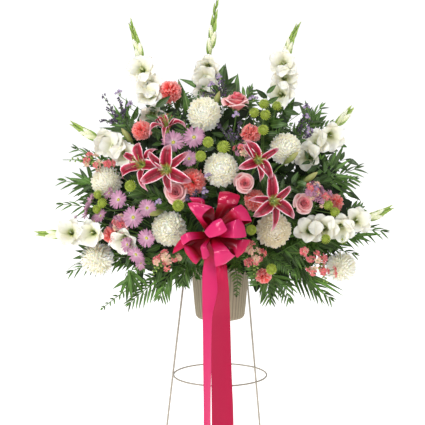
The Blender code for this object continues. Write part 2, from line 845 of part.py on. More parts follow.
def make_tails():
    """Two ribbon ends that hang from behind the knot to below the lower ring."""
    knot = sight(*KNOT)
    for name, rows in TAILS.items():
        left = [sight(x, z, depth) for z, x, depth, _, _ in rows]
        right = [sight(x, z, depth) for z, _, _, x, depth in rows]
        right[-1] += UP * TAIL_SLANT
        way = knot - (left[0] + right[0]) / 2
        # The top is drawn up as far as it goes, until it lies against the bow.
        for k in range(100, 0, -1):
            lift = way * (k / 100)
            piece = band([left[0] + lift] + left[1:], [right[0] + lift] + right[1:], RIBBON_THICK)
            if not touches(piece, clear=GAP):
                break
        place(name, piece)


# Flowers

def dome(x, z):
    """How far in front of the stand's plane the flowers' rounded face lies, in centimetres."""
    left = 1 - (x / 45) ** 2 - ((z - 90) / 45) ** 2
    return 21.5 * math.sqrt(max(0.03, left))


def spot_of(x, z, extra=0.0):
    """A place on the rounded face, or extra centimetres in front of it."""
    return sight(x, z, dome(x, z) + extra)


# Each row: x, z, extra depth (centimetres), radius in millimetres, how far it turns to the
# viewer (0 to 1), and a lean added to where it looks.
MUMS = {
    "mum_1": (-4.5, 121.4, -2.0, 46, 0.55, (0, 0, -0.1)),
    "mum_2": (0.2, 105.8, -1.5, 46, 0.7, (0, 0, 0)),
    "mum_3": (18.4, 111.7, -3.0, 43, 0.55, (0, 0, 0)),
    "mum_4": (-32.1, 102.5, -3.0, 42, 0.5, (0, 0, 0)),
    "mum_5": (-14.5, 89.2, -2.8, 47, 0.7, (0, 0, 0.1)),
    "mum_6": (15.2, 88.6, -2.5, 46, 0.7, (0, 0, 0)),
    "mum_7": (-35.6, 80.4, -3.0, 45, 0.15, (-0.5, 0, -0.5)),
    "mum_8": (34.9, 78.2, -3.0, 40, 0.1, (0.5, 0, -0.4)),
}
CARNATIONS = {
    "carnations_top": [(-14.4, 127.8, -2.0, 31, 0.6, (-0.1, 0, 0.2)),
                       (-22.2, 117.0, -1.0, 25, 0.6, (0, 0, 0))],
    "carnations_left": [(-7.9, 102.5, -1.5, 33, 0.75, (0, 0, 0)),
                        (-31.4, 87.2, -1.0, 21, 0.2, (-0.2, 0, -0.4))],
    "carnations_right": [(9.9, 97.2, -2.5, 27, 0.7, (0, 0, 0)), (8.6, 116.4, -1.5, 25, 0.3, (0, 0, 0.5))],
    "carnations_low": [(33.0, 96.7, -2.0, 21, 0.2, (0.2, 0, 0)), (12.5, 75.3, -3.0, 21, 0.4, (0, 0, -0.6))],
}
ROSES = {
    "rose_1": (5.0, 125.6, -2.0, 29, 0.2, (0, 0, 0.5)),
    "rose_2": (-12.5, 99.4, -0.5, 32, 0.7, (0, 0, 0)),
    "rose_3": (6.9, 101.9, -0.5, 27, 0.75, (0, 0, 0)),
    "rose_4": (-27.8, 90.5, -1.0, 25, 0.6, (0, 0, 0)),
    "rose_5": (23.5, 96.3, -1.5, 28, 0.6, (0, 0, 0)),
}
# Lilies also have the turn of their petals in degrees, and their buds' tips.
LILIES = {
    "lily_1": (-22.6, 107.5, 1.5, 60, 0.5, (-0.2, 0, 0), 20, [(-27.5, 117.2, -1)]),
    "lily_2": (-15.3, 105.8, 3.0, 64, 0.75, (0, 0, -0.1), 30, [(-19.9, 93.0, 2.5)]),
    "lily_3": (-15.0, 118.6, 1.0, 44, 0.3, (0.1, 0, 0.5), 10, [(-0.2, 127.5, -2)]),
    "lily_4": (10.8, 108.4, 2.5, 54, 0.75, (0, 0, 0), 30, [(21.8, 110.6, 1)]),
    "lily_5": (15.2, 96.9, 2.5, 60, 0.75, (0, 0, 0), 15, []),
}
# Gladioli: the spike from low to high, the open flowers' places with how far each looks
# to the side, and the share of the spike where the green buds begin.
GLADIOLI = {
    "gladiolus_1": ([(-18.6, 121, 5), (-20.6, 131, 4), (-22.6, 139, 3.5), (-24.8, 146.4, 3)],
                    [(-19.0, 122.4), (-20.4, 126.2), (-18.9, 129.6), (-21.4, 133.4)]),
    "gladiolus_2": ([(-4.2, 124, 2), (-3.2, 133, 1.5), (-2.2, 143, 1), (-1.0, 152.3, 0.5)],
                    [(-4.6, 127.8), (-4.4, 131.4), (-2.3, 134.9)]),
    "gladiolus_3": ([(17.2, 123, 3), (17.6, 132, 2.5), (18.8, 139, 2), (21.4, 145.7, 1.5)],
                    [(16.6, 126.4), (17.6, 131.2), (17.2, 135.0)]),
    "gladiolus_4": ([(22.5, 105, 8), (28, 113, 7), (32.4, 118, 6), (36.1, 122.4, 5)],
                    [(24.9, 109.4), (27.2, 113.4), (30.6, 116.4)]),
    "gladiolus_5": ([(22, 87.5, 13), (33, 90, 12), (41, 92, 11), (47.6, 94.9, 10)],
                    [(25.4, 88.2), (29.6, 90.4), (34.2, 90.0), (38.2, 91.9)]),
    "gladiolus_6": ([(-24, 87.2, 13), (-35, 88, 12), (-43, 87.6, 11), (-51.2, 87.8, 10)],
                    [(-27.2, 86.0), (-36.2, 88.6), (-43.0, 89.4)]),
    "gladiolus_7": ([(-25, 109, 8), (-31, 113, 7), (-36, 115.4, 6), (-41, 118.4, 5)],
                    [(-27.4, 109.6), (-29.2, 112.8), (-33.2, 113.6)]),
}
# The share of a gladiolus spike where the green buds begin.
GREEN_FROM = {"gladiolus_4": 0.72, "gladiolus_5": 0.70, "gladiolus_6": 0.76}
GREEN_FROM_OTHERS = 0.56

# Small flowers on branched stems: x, z, extra depth, radius in millimetres, turn to the
# viewer, lean.
DAISIES = {
    "daisies_top": [(-13.0, 113.2, 0.5, 31, 0.6, (0, 0, 0)), (-7.3, 114.6, 0.5, 30, 0.6, (0, 0, 0)),
                    (-8.7, 108.7, 0.5, 22, 0.7, (0, 0, 0.1))],
    "daisies_left": [(-24.3, 92.3, 0.5, 29, 0.6, (0, 0, 0)), (-28.4, 97.2, 0.0, 26, 0.5, (0, 0, 0)),
                     (-20.4, 94.9, 0.5, 24, 0.7, (0, 0, 0)), (-20.6, 86.5, 0.5, 25, 0.6, (0, 0, -0.2)),
                     (-23.6, 81.9, 0.0, 25, 0.4, (0, 0, -0.4)), (-36.0, 97.0, 0.0, 22, 0.1, (-0.4, 0, 0.3)),
                     (-37.4, 93.5, 0.5, 20, 0.1, (-0.4, 0, 0)), (-40.4, 91.3, 0.0, 18, 0.0, (-0.4, 0, 0)),
                     (-33.4, 92.7, 0.5, 20, 0.3, (0, 0, 0.2))],
}
POMS = {
    "poms_right": [(12.6, 121.0, 0.5, 15, 0.5, (0, 0, 0)), (12.2, 124.0, -0.5, 15, 0.4, (0, 0, 0)),
                   (15.8, 123.5, -0.5, 14, 0.4, (0, 0, 0)), (9.5, 121.6, 0.5, 14, 0.5, (0, 0, 0)),
                   (12.0, 116.8, 1.0, 15, 0.5, (0, 0, 0)), (1.0, 112.1, 1.5, 18, 0.6, (0, 0, 0.3)),
                   (30.3, 95.8, 0.5, 14, 0.5, (0, 0, 0)), (32.2, 93.8, 1.0, 14, 0.5, (0, 0, 0)),
                   (34.6, 86.2, 0.5, 14, 0.4, (0, 0, 0)), (29.7, 86.2, 1.0, 14, 0.4, (0, 0, 0)),
                   (14.5, 77.6, 1.5, 15, 0.4, (0, 0, 0)), (8.8, 88.8, 0.5, 14, 0.7, (0, 0, 0))],
    "poms_left": [(-25.2, 101.2, 1.0, 16, 0.5, (0, 0, 0)), (-11.8, 95.7, 1.5, 16, 0.7, (0, 0, 0)),
                  (-34.3, 98.8, 1.0, 13, 0.3, (0, 0, 0)), (-33.1, 96.4, 1.0, 14, 0.4, (0, 0, 0)),
                  (-34.6, 94.6, 1.0, 13, 0.3, (0, 0, 0)), (-3.4, 113.4, 2.0, 15, 0.6, (0, 0, 0)),
                  (-5.5, 109.5, 2.0, 15, 0.6, (0, 0, 0))],
}
ASTERS = [(-4.3, 99.7), (-3.4, 104.2), (-17.6, 96.6), (4.4, 121.1), (9.1, 125.6), (-0.3, 131.3),
          (-2.7, 129.4), (-28.2, 127.1), (-25.3, 123.8), (23.7, 123.3), (24.2, 120.4), (24.6, 116.8),
          (26.8, 100.6)]
# Stock: the open flowers from the lowest up, and the tip of its green buds.
STOCK = {
    "stock_left": [[(-30.9, 107.2), (-34.2, 106.8), (-35.2, 109.8), (-37.4, 108.2), (-43.9, 108.4)]],
    "stock_low_left": [[(-11.9, 80.6), (-14.6, 81.5), (-15.5, 79.0), (-17.7, 80.1), (-19.8, 75.3)]],
    "stock_low_right": [[(8.5, 82.9), (11.4, 82.3), (10.6, 80.1), (8.7, 79.8), (9.7, 74.2)],
                        [(23.7, 82.7), (26.5, 80.9), (29.1, 80.3), (26.0, 78.1), (28.4, 76.6),
                         (31.4, 76.6), (30.2, 72.6)]],
}
# Fronds: tip x, z and depth in centimetres, the longest leaflet in millimetres, steps.
FRONDS = {
    "palm_left": [(-43.6, 102.6, 6, 52, 7), (-40.0, 111.4, 5, 46, 6), (-42.0, 77.0, 8, 40, 6),
                  (-44.5, 96.0, 9, 40, 6)],
    "palm_right": [(38.0, 106.0, 6, 60, 7), (45.6, 88.4, 8, 52, 7), (37.6, 82.0, 8, 44, 6),
                   (28.0, 123.0, 5, 46, 6)],
    "fern_low_left": [(-17.0, 70.0, 14, 44, 7), (-25.5, 68.0, 13, 40, 6), (-33.1, 66.6, 10, 46, 7),
                      (-10.5, 73.8, 15, 36, 6)],
    "fern_low_right": [(4.6, 70.4, 15, 42, 7), (14.0, 69.0, 13, 46, 6), (19.4, 69.2, 11, 40, 6),
                       (31.0, 69.4, 9, 44, 7)],
    "fronds_back": [(-24.0, 108.0, -14, 60, 6), (24.0, 106.0, -14, 60, 6), (0.0, 118.0, -12, 60, 6),
                    (-22.0, 84.0, -16, 60, 6), (22.0, 84.0, -16, 60, 6), (0.0, 92.0, -20, 60, 6),
                    (-9.0, 78.5, -18, 66, 6), (10.0, 78.0, -18, 66, 6), (-29.0, 95.0, -9, 66, 6),
                    (30.0, 94.0, -9, 66, 6), (-12.0, 106.0, -17, 66, 6), (12.0, 105.0, -17, 66, 6),
                    (-13.0, 119.0, -7, 60, 6), (13.0, 118.0, -8, 60, 6)],
}
# Broad leaves: tip x, z and depth, length and half width in millimetres.
LEAVES = [(-6.8, 135.0, 2, 95, 9), (-11.8, 130.6, 4, 90, 9), (-10.2, 127.4, 8, 80, 9),
          (1.4, 135.0, 2, 95, 9), (4.9, 132.2, 4, 90, 9), (20.9, 125.4, 5, 90, 11),
          (26.0, 122.8, 3, 100, 8), (-17.0, 124.0, 8, 80, 10), (-30.0, 122.0, 4, 90, 9),
          (9.0, 129.5, 4, 80, 8)]


def rose_rings(r):
    """A rose from its base to its heart: three rims of petals, each round a valley."""
    return [(0, -0.95 * r, 0, 0), (0.3 * r, -0.72 * r, 0, 0), (0.75 * r, -0.22 * r, 0, 0),
            (0.97 * r, 0.14 * r, 0.06 * r, -0.08 * r), (0.72 * r, 0.04 * r, 0, 0),
            (0.66 * r, 0.36 * r, 0.04 * r, -0.05 * r), (0.43 * r, 0.2 * r, 0, 0),
            (0.32 * r, 0.5 * r, 0.04 * r, 0), (0, 0.3 * r, 0, 0)]


def carnation_rings(r):
    """A carnation from its calyx to its middle: frilled rings that cover a dome."""
    return [(0, -1.05 * r, 0, 0), (0.26 * r, -0.7 * r, 0, 0), (0.72 * r, -0.12 * r, 0.05 * r, 0),
            (0.94 * r, 0.1 * r, 0.07 * r, 0.09 * r), (0.78 * r, 0.34 * r, 0.08 * r, -0.10 * r),
            (0.44 * r, 0.54 * r, 0.08 * r, 0.10 * r), (0, 0.5 * r, 0, 0)]


def pom_rings(r):
    """A small green button flower with a dimpled middle."""
    return [(0, -0.7 * r, 0, 0), (0.95 * r, -0.02 * r, 0.07 * r, 0), (0.5 * r, 0.46 * r, 0, 0.03 * r),
            (0, 0.28 * r, 0, 0)]


def head_at(name, build, base_depth):
    """Places a flower head at its largest clear size. Returns where its stem ends, which way
    it looks and its number."""
    for size in (1.0, 0.94, 0.88, 0.8, 0.7, 0.6):
        centre, axis, piece = build(size)
        if not touches(piece, skip=(name,)):
            return centre - axis * (base_depth * size), axis, place(name, piece)
    return None


def round_head(name, row, kind):
    """A mum, carnation, rose or pom from its row, with what head_at() returns."""
    x, z, extra, radius, toward, lean = row
    centre = spot_of(x, z, extra)
    axis = facing(centre, toward, lean)

    def build(size):
        r = radius * MM * size
        if kind == "mum":
            return centre, axis, mum_head(centre, axis, r)
        if kind == "carnation":
            return centre, axis, rosette(centre, axis, carnation_rings(r), 5)
        if kind == "rose":
            return centre, axis, rosette(centre, axis, rose_rings(r), 5)
        return centre, axis, rosette(centre, axis, pom_rings(r), 4)

    depth = {"mum": 0.55, "carnation": 0.85, "rose": 0.8, "pom": 0.5}[kind]
    return head_at(name, build, radius * MM * depth)


def lily_head(name, row):
    """A lily: six petals that leave a narrow throat and curl back. Returns its base, which
    way it looks and its throat's number."""
    x, z, extra, reach, toward, lean, turn, _ = row
    centre = spot_of(x, z, extra)
    axis = facing(centre, toward, lean)
    side, other = square_to(axis)
    base = centre - axis * 26 * MM
    cup = [(0, -6 * MM, 0, 0), (6.8 * MM, 0, 0, 0), (7.5 * MM, 11 * MM, 0, 0), (0, 14 * MM, 0, 0)]
    throat = place(name, rosette(base, axis, cup, 3))
    for k in range(6):
        angle = math.radians(60 * k + turn)
        out = side * math.cos(angle) + other * math.sin(angle)
        broad = 1.0 if k % 2 else 0.78
        for size in (1.0, 0.85, 0.7, 0.55):
            long = reach * MM * size
            line = [(0.08, -2), (0.38, 22), (0.75, 28), (1.05, 14)]
            step = (3 if k % 2 else 0) * MM
            points = [base + out * (share * long) + axis * (rise * MM + step) for share, rise in line]
            widths = [1.8 * MM, 9.5 * MM * broad, 12 * MM * broad * size, 0]
            piece = blade(points, widths, 1.6 * MM, axis, cup=0.25)
            if not touches(piece, skip=(name,)):
                place(name, piece)
                break
    return base - axis * 2 * MM, axis, throat


def gladiolus(name, spike, flowers):
    """A gladiolus: white funnels up one side of its spike, then buds that turn green and
    small toward the tip, which is a node of its own."""
    tip_name = name.replace("gladiolus", "gladiolus_tip")
    green = GREEN_FROM.get(name, GREEN_FROM_OTHERS)
    points = [sight(*spot) for spot in spike]
    steps = [(b - a).length for a, b in zip(points, points[1:])]

    def along(share):
        rest = share * sum(steps)
        for a, b, step in zip(points, points[1:], steps):
            if rest <= step or b is points[-1]:
                return a.lerp(b, rest / step), (b - a).normalized()
            rest -= step

    low = [p for k, p in enumerate(points) if sum(steps[:k]) < green * sum(steps)]
    high = points[len(low):]
    split, way = along(green)
    place(name, tube(low + [split], [SPIKE_STEM] * len(low) + [2.6 * MM]))
    place(tip_name, tube([split + way * GAP] + high, [2.6 * MM] + [2.0 * MM] * (len(high) - 1) + [0]))
    for x, z in flowers:
        aim = sight(x, z, spike[0][2] + 3.2)
        root = min((along(green * k / 30)[0] for k in range(30)), key=lambda p: (p - aim).length)
        axis = ((aim - root).normalized() * 0.7 + FRONT * 0.5).normalized()
        for size in (1.0, 0.88, 0.76, 0.62):
            foot = root - axis * 2 * MM
            piece = funnel(foot, axis, 44 * MM * size, 33 * MM * size, 6, notch=0.66, flare=0.12)
            if not touches(piece, skip=(name,)):
                place(name, piece)
                break
    side, _ = square_to(way, FRONT)
    for k in range(7):
        share = green - 0.08 + (1 - green) * 0.15 * k
        root, way = along(share)
        owner = name if share < green else tip_name
        out = (side * (1 if k % 2 else -1) + way * 1.1 + FRONT * 0.6).normalized()
        long = (30 - 3.0 * k) * MM
        piece = bud(root - out * 1.5 * MM, root + out * long, (7.5 - 0.75 * k) * MM)
        if not touches(piece, skip=(owner,)):
            place(owner, piece)
    return points[0], (points[1] - points[0]).normalized(), None


def set_flowers():
    """The large heads first, then the stems that carry them between each other."""
    ends = {}
    for name, row in MUMS.items():
        ends[name] = [round_head(name, row, "mum")]
    for name, row in LILIES.items():
        ends[name] = [lily_head(name, row)]
    for name, row in ROSES.items():
        ends[name] = [round_head(name, row, "rose")]
    for name, (spike, flowers) in GLADIOLI.items():
        ends[name] = [gladiolus(name, spike, flowers)]
    for name, rows in CARNATIONS.items():
        ends[name] = [round_head(name, row, "carnation") for row in rows]
    for name, spots in ends.items():
        thick = SPIKE_STEM if name in GLADIOLI else HEAD_STEM
        for end, axis, head in spots:
            connect(name, end, thick, axis, head)
    for name, row in LILIES.items():
        for x, z, extra in row[-1]:
            tip = spot_of(x, z, extra)
            away = (tip - stems[name][0][-2]).normalized()
            root = tip - away * 34 * MM
            piece = bud(root, tip, 6.5 * MM, sides=4)
            if not touches(piece, skip=(name,)):
                connect(name, root, BUD_STEM, None, place(name, piece))


def daisy(name, row):
    """A daisy head from its row, with what head_at() returns."""
    x, z, extra, radius, toward, lean = row
    centre = spot_of(x, z, extra)
    axis = facing(centre, toward, lean)

    def build(size):
        return centre, axis, daisy_head(centre, axis, 7, radius * MM * size)

    return head_at(name, build, radius * 0.2 * MM)


def star(centre, axis, lobes, radius, deep):
    """A small flower: a point deep behind it, a star of lobes and a sunken middle."""
    rings = [(0, -deep, 0, 0), (0.76 * radius, 0.15 * radius, 0.24 * radius, 0.08 * radius),
             (0, 0.05 * radius, 0, 0)]
    return rosette(centre, axis, rings, lobes)


def set_small_flowers():
    """Daisies, green poms, stock and small asters, each on a branched stem."""
    sprays = {}
    for name, rows in DAISIES.items():
        sprays[name] = [daisy(name, row) for row in rows]
    for name, rows in POMS.items():
        sprays[name] = [round_head(name, row, "pom") for row in rows]
    for name, stalks in STOCK.items():
        sprays[name] = [stock_stalk(name, stalk) for stalk in stalks]
    heads = []
    for x, z in ASTERS:
        centre = spot_of(x, z, 0.5)
        axis = facing(centre, 0.5)
        piece = star(centre, axis, 4, 10 * MM, 8 * MM)
        if not touches(piece, skip=("asters",)):
            heads.append((centre - axis * 4 * MM, axis, place("asters", piece)))
    sprays["asters"] = heads
    for name, heads in sprays.items():
        for end, axis, head in filter(None, heads):
            connect(name, end, SPRAY_STEM, axis, head)


def stock_stalk(name, stalk):
    """A stalk of stock: open flowers up it and green buds at its drooping tip."""
    spots = [spot_of(x, z, 0.5) for x, z in stalk[:-1]]
    tip = spot_of(*stalk[-1], -1.0)
    low = spots[0] * 0.6 + spots[1] * 0.4
    middle = sum(spots[1:], Vector()) / (len(spots) - 1)
    line = [low - FRONT * 14 * MM, middle - FRONT * 12 * MM, tip]
    place(name, tube(line, [1.8 * MM, 1.6 * MM, 0]))
    for spot in spots:
        root = min((line[0].lerp(line[1], k / 8) for k in range(9)), key=lambda p: (p - spot).length)
        axis = (spot - root).normalized()
        piece = star(spot, axis, 4, 15 * MM, (spot - root).length + 0.5 * MM)
        if not touches(piece, skip=(name,)):
            place(name, piece)
    for k in range(4):
        root = line[1].lerp(line[2], 0.15 + 0.18 * k)
        side, _ = square_to((line[2] - line[1]).normalized(), FRONT)
        ahead = (line[2] - line[1]).normalized()
        out = (side * (1 if k % 2 else -1) + FRONT * 0.5 + ahead * 0.6).normalized()
        piece = bud(root, root + out * (13 - 1.5 * k) * MM, (4.2 - 0.4 * k) * MM)
        if not touches(piece, skip=(name,)):
            place(name, piece)
    return low - FRONT * 13 * MM, (low - HEART).normalized(), None


# Foliage

def set_foliage():
    """Fronds round the outside, broad leaves at the top, and fronds that close the back."""
    for name, rows in FRONDS.items():
        for x, z, depth, longest, steps in rows:
            grow_frond(name, sight(x, z, depth), longest * MM, steps)
    for x, z, depth, length, half in LEAVES:
        grow_leaf("leaves_top", sight(x, z, depth), length * MM, half * MM)


def feet(tip, length):
    """Candidate places for the foot of a leaf that ends at tip, the straightest first."""
    out = (tip - HEART).normalized()
    side, other = square_to(out)
    foot = tip - out * length
    yield foot
    for spread in (12, 24, 38, 54):
        for k in range(8):
            turn = math.pi * k / 4
            yield foot + (side * math.cos(turn) + other * math.sin(turn)) * spread * MM


def carry(name, path, radius, build):
    """Puts a leaf on its stem, run on into it where that is clear of other plants. build
    makes the leaf along a line with some points of stem in front. Returns whether it could."""
    rooted = name not in stems
    stem = way_to(name, path[0].lerp(path[1], 0.15), radius)
    if stem is None:
        return False
    stems.setdefault(name, []).append(stem)
    whole = build(stem[:-1] + path, len(stem) - 1)
    if rooted or touches(whole, skip=(name,)):
        place(name, tube(stem, [radius] * len(stem)))
        whole = build(path, 0)
    place(name, whole)
    return True


def grow_frond(name, tip, longest, steps):
    """One frond of a node."""
    reach = min(LONGEST_FROND, (tip - HEART).length - FRONDS_START)
    upper = (FRONT * (0.7 if tip.y < 0.05 else -0.7) + UP * 0.6).normalized()
    for foot in feet(tip, reach):
        path = arc(foot, (tip - foot).normalized() + UP * 0.35, tip, steps)
        if not touches(tube(path, [FROND_RIB + 0.2 * MM] * len(path)), skip=(name,)) and carry(
                name, path, FROND_RIB,
                lambda line, extra: frond(line, FROND_RIB, longest, upper, extra + 1, name)):
            return


def grow_leaf(name, tip, length, half):
    """One broad leaf of a node."""
    upper = (FRONT * 0.8 + UP * 0.4).normalized()

    def build(line, extra):
        widths = [LEAF_STALK] * (extra + 1) + [half, half * 0.8, 0]
        return blade(line, widths, 1.6 * MM, upper, cup=0.2)

    for foot in feet(tip, length):
        path = arc(foot, (tip - foot).normalized() + UP * 0.25, tip, 3)
        if not touches(build(path, 0), skip=(name,)) and carry(name, path, LEAF_STALK, build):
            return


def main():
    for obj in list(bpy.data.objects):
        bpy.data.objects.remove(obj)
    for name, angle in LEG_ANGLES.items():
        make_leg(name, angle)
    make_ring("ring_lower", LOW_RING_HEIGHT)
    make_ring("ring_top", TOP_RING_HEIGHT)
    make_pot()
    make_foam()
    make_bow()
    make_tails()
    set_flowers()
    set_small_flowers()
    set_foliage()
    for name in planned:
        make(name, colour_of(name))


def colour_of(name):
    """The colour of a node, from the start of its name."""
    starts = {"leg": "stand wire", "ring": "stand wire", "pot": "pot", "foam": "foam", "bow": "ribbon",
              "tail": "ribbon", "gladiolus_tip": "bud green", "gladiolus": "white petal", "mum": "cream mum",
              "lily": "lily crimson", "carnations": "coral", "rose": "rose pink", "daisies": "lavender",
              "poms": "pom green", "stock": "stock red", "asters": "aster lilac"}
    for start, colour in starts.items():
        if name.startswith(start):
            return colour
    return "leaf"


main()
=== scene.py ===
"""The looks of a sympathy flower arrangement on its stand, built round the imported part.

Petals, leaves and ribbons are closed thin solids made by formulas. Flower places are
written as the front view shows them: x and z in centimetres where the sight line from EYE
meets the stand's own plane, and how far in front of that plane the piece is."""

import math
import bpy
import numpy as np
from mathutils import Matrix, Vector


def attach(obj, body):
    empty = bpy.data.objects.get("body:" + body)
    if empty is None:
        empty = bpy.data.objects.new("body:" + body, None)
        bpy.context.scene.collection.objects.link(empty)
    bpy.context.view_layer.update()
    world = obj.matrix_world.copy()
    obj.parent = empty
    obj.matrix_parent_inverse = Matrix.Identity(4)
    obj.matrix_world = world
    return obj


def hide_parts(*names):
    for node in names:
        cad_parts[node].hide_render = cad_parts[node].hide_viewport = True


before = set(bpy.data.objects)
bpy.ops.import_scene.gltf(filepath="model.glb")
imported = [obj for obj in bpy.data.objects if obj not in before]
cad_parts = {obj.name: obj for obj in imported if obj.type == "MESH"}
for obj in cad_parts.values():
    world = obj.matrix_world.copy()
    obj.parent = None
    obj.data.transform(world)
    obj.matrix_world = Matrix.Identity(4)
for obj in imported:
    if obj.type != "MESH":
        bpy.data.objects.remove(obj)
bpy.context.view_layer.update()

CM = 0.01
MM = 0.001
MIDDLE = np.array((-0.0182, -0.0544, 0.0))      # the stand's axis is at -MIDDLE
UP = np.array((0.0, 0.0, 1.0))
FRONT = np.array((0.0, -1.0, 0.0))
EYE = np.array((-0.022, -3.0, 1.21))
HEART = np.array((0.0, 0.0, 0.83))
FOAM_REACH = 66 * MM
GOLDEN = math.radians(137.508)
RIBS = 44                                       # round the pot

rng = np.random.default_rng(11)


# Points and directions

def unit(a):
    a = np.asarray(a, float)
    return a / np.maximum(np.linalg.norm(a, axis=-1, keepdims=True), 1e-12)


def sight(x, z, depth):
    """The point that lines up with x and z on the stand's plane, in centimetres."""
    on_plane = np.array((x * CM, 0.0, z * CM))
    return EYE + (on_plane - EYE) * (1 + depth * CM / EYE[1])


def dome(x, z):
    """How far in front of the stand's plane the flowers' rounded face lies, in centimetres."""
    left = 1 - (x / 45) ** 2 - ((z - 90) / 45) ** 2
    return 21.5 * math.sqrt(max(0.03, left))


def spot_of(x, z, extra=0.0):
    return sight(x, z, dome(x, z) + extra)


def facing(spot, toward_viewer, lean=(0, 0, 0)):
    out = unit(spot - HEART)
    return unit(out * (1 - toward_viewer) + FRONT * toward_viewer + np.array(lean, float))


def square_to(way, hint=UP):
    """Two unit vectors square to a direction and to each other."""
    side = np.cross(way, hint)
    if np.linalg.norm(side) < 0.05:
        side = np.cross(way, (1.0, 0.0, 0.0))
    side = unit(side)
    return side, unit(np.cross(side, way))


def smooth_line(points, count):
    """A Catmull-Rom line through points, with count steps in all."""
    p = np.asarray(points, float)
    p = np.vstack([2 * p[0] - p[1], p, 2 * p[-1] - p[-2]])
    t = np.linspace(0, len(p) - 3, count + 1)
    k = np.minimum(t.astype(int), len(p) - 4)
    f = (t - k)[:, None]
    a, b, c, d = p[k], p[k + 1], p[k + 2], p[k + 3]
    return 0.5 * (2 * b + (c - a) * f + (2 * a - 5 * b + 4 * c - d) * f ** 2
                  + (3 * b - a - 3 * c + d) * f ** 3)


def arc(start, way, end, count):
    """A bend that leaves start along way and ends at end."""
    pull = start + unit(way) * (np.linalg.norm(end - start) * 0.45)
    t = np.linspace(0, 1, count + 1)[:, None]
    return start * (1 - t) ** 2 + 2 * pull * t * (1 - t) + end * t ** 2


def tangents(line):
    return unit(np.gradient(line, axis=0))


def ease(t):
    t = np.clip(t, 0, 1)
    return t * t * (3 - 2 * t)


# Meshes

class Piece:
    """A mesh in the making. Each point also holds its place: across and along its petal or
    leaf, and a number that is mostly random and shared by the whole petal; on the ribbon it
    is a painted light and shade level along it."""

    def __init__(self, name, node, materials, slot):
        self.name = name
        self.nodes = (node,) if isinstance(node, str) else tuple(node)
        self.materials = materials
        self.slot = slot
        self.points = []
        self.places = []
        self.faces = []
        self.looks = []
        self.count = 0

    def add(self, points, faces, places, look):
        """Points and places are (n, 3). Faces are rows of 4 numbers; a triangle repeats its last."""
        faces = np.asarray(faces, np.int64)
        self.points.append(np.asarray(points, float).reshape(-1, 3))
        self.places.append(np.asarray(places, float).reshape(-1, 3))
        self.faces.append(faces + self.count)
        self.looks.append(np.full(len(faces), self.materials.index(look), np.int32))
        self.count += len(self.points[-1])

    def finish(self):
        points = np.vstack(self.points) - MIDDLE
        faces = np.vstack(self.faces)
        looks = np.concatenate(self.looks)
        triangle = faces[:, 3] == faces[:, 2]
        sizes = np.where(triangle, 3, 4).astype(np.int32)
        starts = np.concatenate([[0], np.cumsum(sizes)[:-1]]).astype(np.int32)
        keep = np.ones(faces.shape, bool)
        keep[:, 3] = ~triangle
        mesh = bpy.data.meshes.new(self.name)
        mesh.vertices.add(len(points))
        mesh.vertices.foreach_set("co", points.astype(np.float32).ravel())
        mesh.loops.add(int(sizes.sum()))
        mesh.loops.foreach_set("vertex_index", faces[keep].astype(np.int32))
        mesh.polygons.add(len(faces))
        mesh.polygons.foreach_set("loop_start", starts)
        mesh.polygons.foreach_set("material_index", looks)
        mesh.update(calc_edges=True)
        mesh.validate()
        place = mesh.attributes.new("place", "FLOAT_VECTOR", "POINT")
        place.data.foreach_set("vector", np.vstack(self.places).astype(np.float32).ravel())
        for look in self.materials:
            mesh.materials.append(LOOKS[look])
        mesh.shade_smooth()
        mesh.set_sharp_from_angle(angle=math.radians(62))
        obj = bpy.data.objects.new(self.name, mesh)
        bpy.context.scene.collection.objects.link(obj)
        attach(obj, "root")
        if self.nodes:
            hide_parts(*self.nodes)
        return obj


lens_cache = {}


def lens_faces(rows, cols):
    """The faces of a closed thin solid over a grid, and which grid points its underside has
    copies of: all but the border's, which both sides share."""
    if (rows, cols) not in lens_cache:
        top = np.arange((rows + 1) * (cols + 1)).reshape(rows + 1, cols + 1)
        under = top.copy()
        inner = top[1:-1, 1:-1].ravel()
        under[1:-1, 1:-1] = (top.size + np.arange(len(inner))).reshape(rows - 1, cols - 1)
        faces = []
        for grid, flip in ((top, False), (under, True)):
            quads = np.stack([grid[:-1, :-1], grid[:-1, 1:], grid[1:, 1:], grid[1:, :-1]], -1).reshape(-1, 4)
            faces.append(quads[:, ::-1] if flip else quads)
        lens_cache[rows, cols] = (np.vstack(faces), inner)
    return lens_cache[rows, cols]


def sheets(piece, grids, look, thick, tone=None, painted_shade_under=None):
    """Adds closed thin solids over grids of points (n, rows + 1, cols + 1, 3)."""
    grids = np.asarray(grids, float)
    if grids.ndim == 3:
        grids = grids[None]
    n, high, wide = grids.shape[:3]
    faces, inner = lens_faces(high - 1, wide - 1)
    along = np.gradient(grids, axis=1)
    across = np.gradient(grids, axis=2)
    normal = unit(np.cross(across, along))
    u = np.linspace(-1, 1, wide)
    v = np.linspace(0, 1, high)
    body = np.minimum(1, (1 - u ** 2)[None, :] * 2.5) * np.minimum(1, (v * (1 - v))[:, None] * 16)
    lift = normal * (body * thick / 2)[None, :, :, None]
    top = (grids + lift).reshape(n, -1, 3)
    under = (grids - lift).reshape(n, -1, 3)[:, inner]
    if tone is None:
        tone = rng.random(n)[:, None, None]
    place = np.empty((n, high, wide, 3))
    place[..., 0] = u[None, None, :]
    place[..., 1] = v[None, :, None]
    place[..., 2] = tone
    place = place.reshape(n, -1, 3)
    hidden = place[:, inner].copy()
    # The underside may take its own tone; the ribbon's loops give it painted shade.
    if painted_shade_under is not None:
        hidden[..., 2] = painted_shade_under
    points = np.concatenate([top, under], 1)
    places = np.concatenate([place, hidden], 1)
    each = points.shape[1]
    numbers = faces[None] + (np.arange(n) * each)[:, None, None]
    piece.add(points, numbers.reshape(-1, 4), places, look)


def col(a):
    """A value or one value a petal, shaped to meet (n, rows, cols) grids."""
    a = np.asarray(a, float)
    return a[:, None, None] if a.ndim == 1 else a


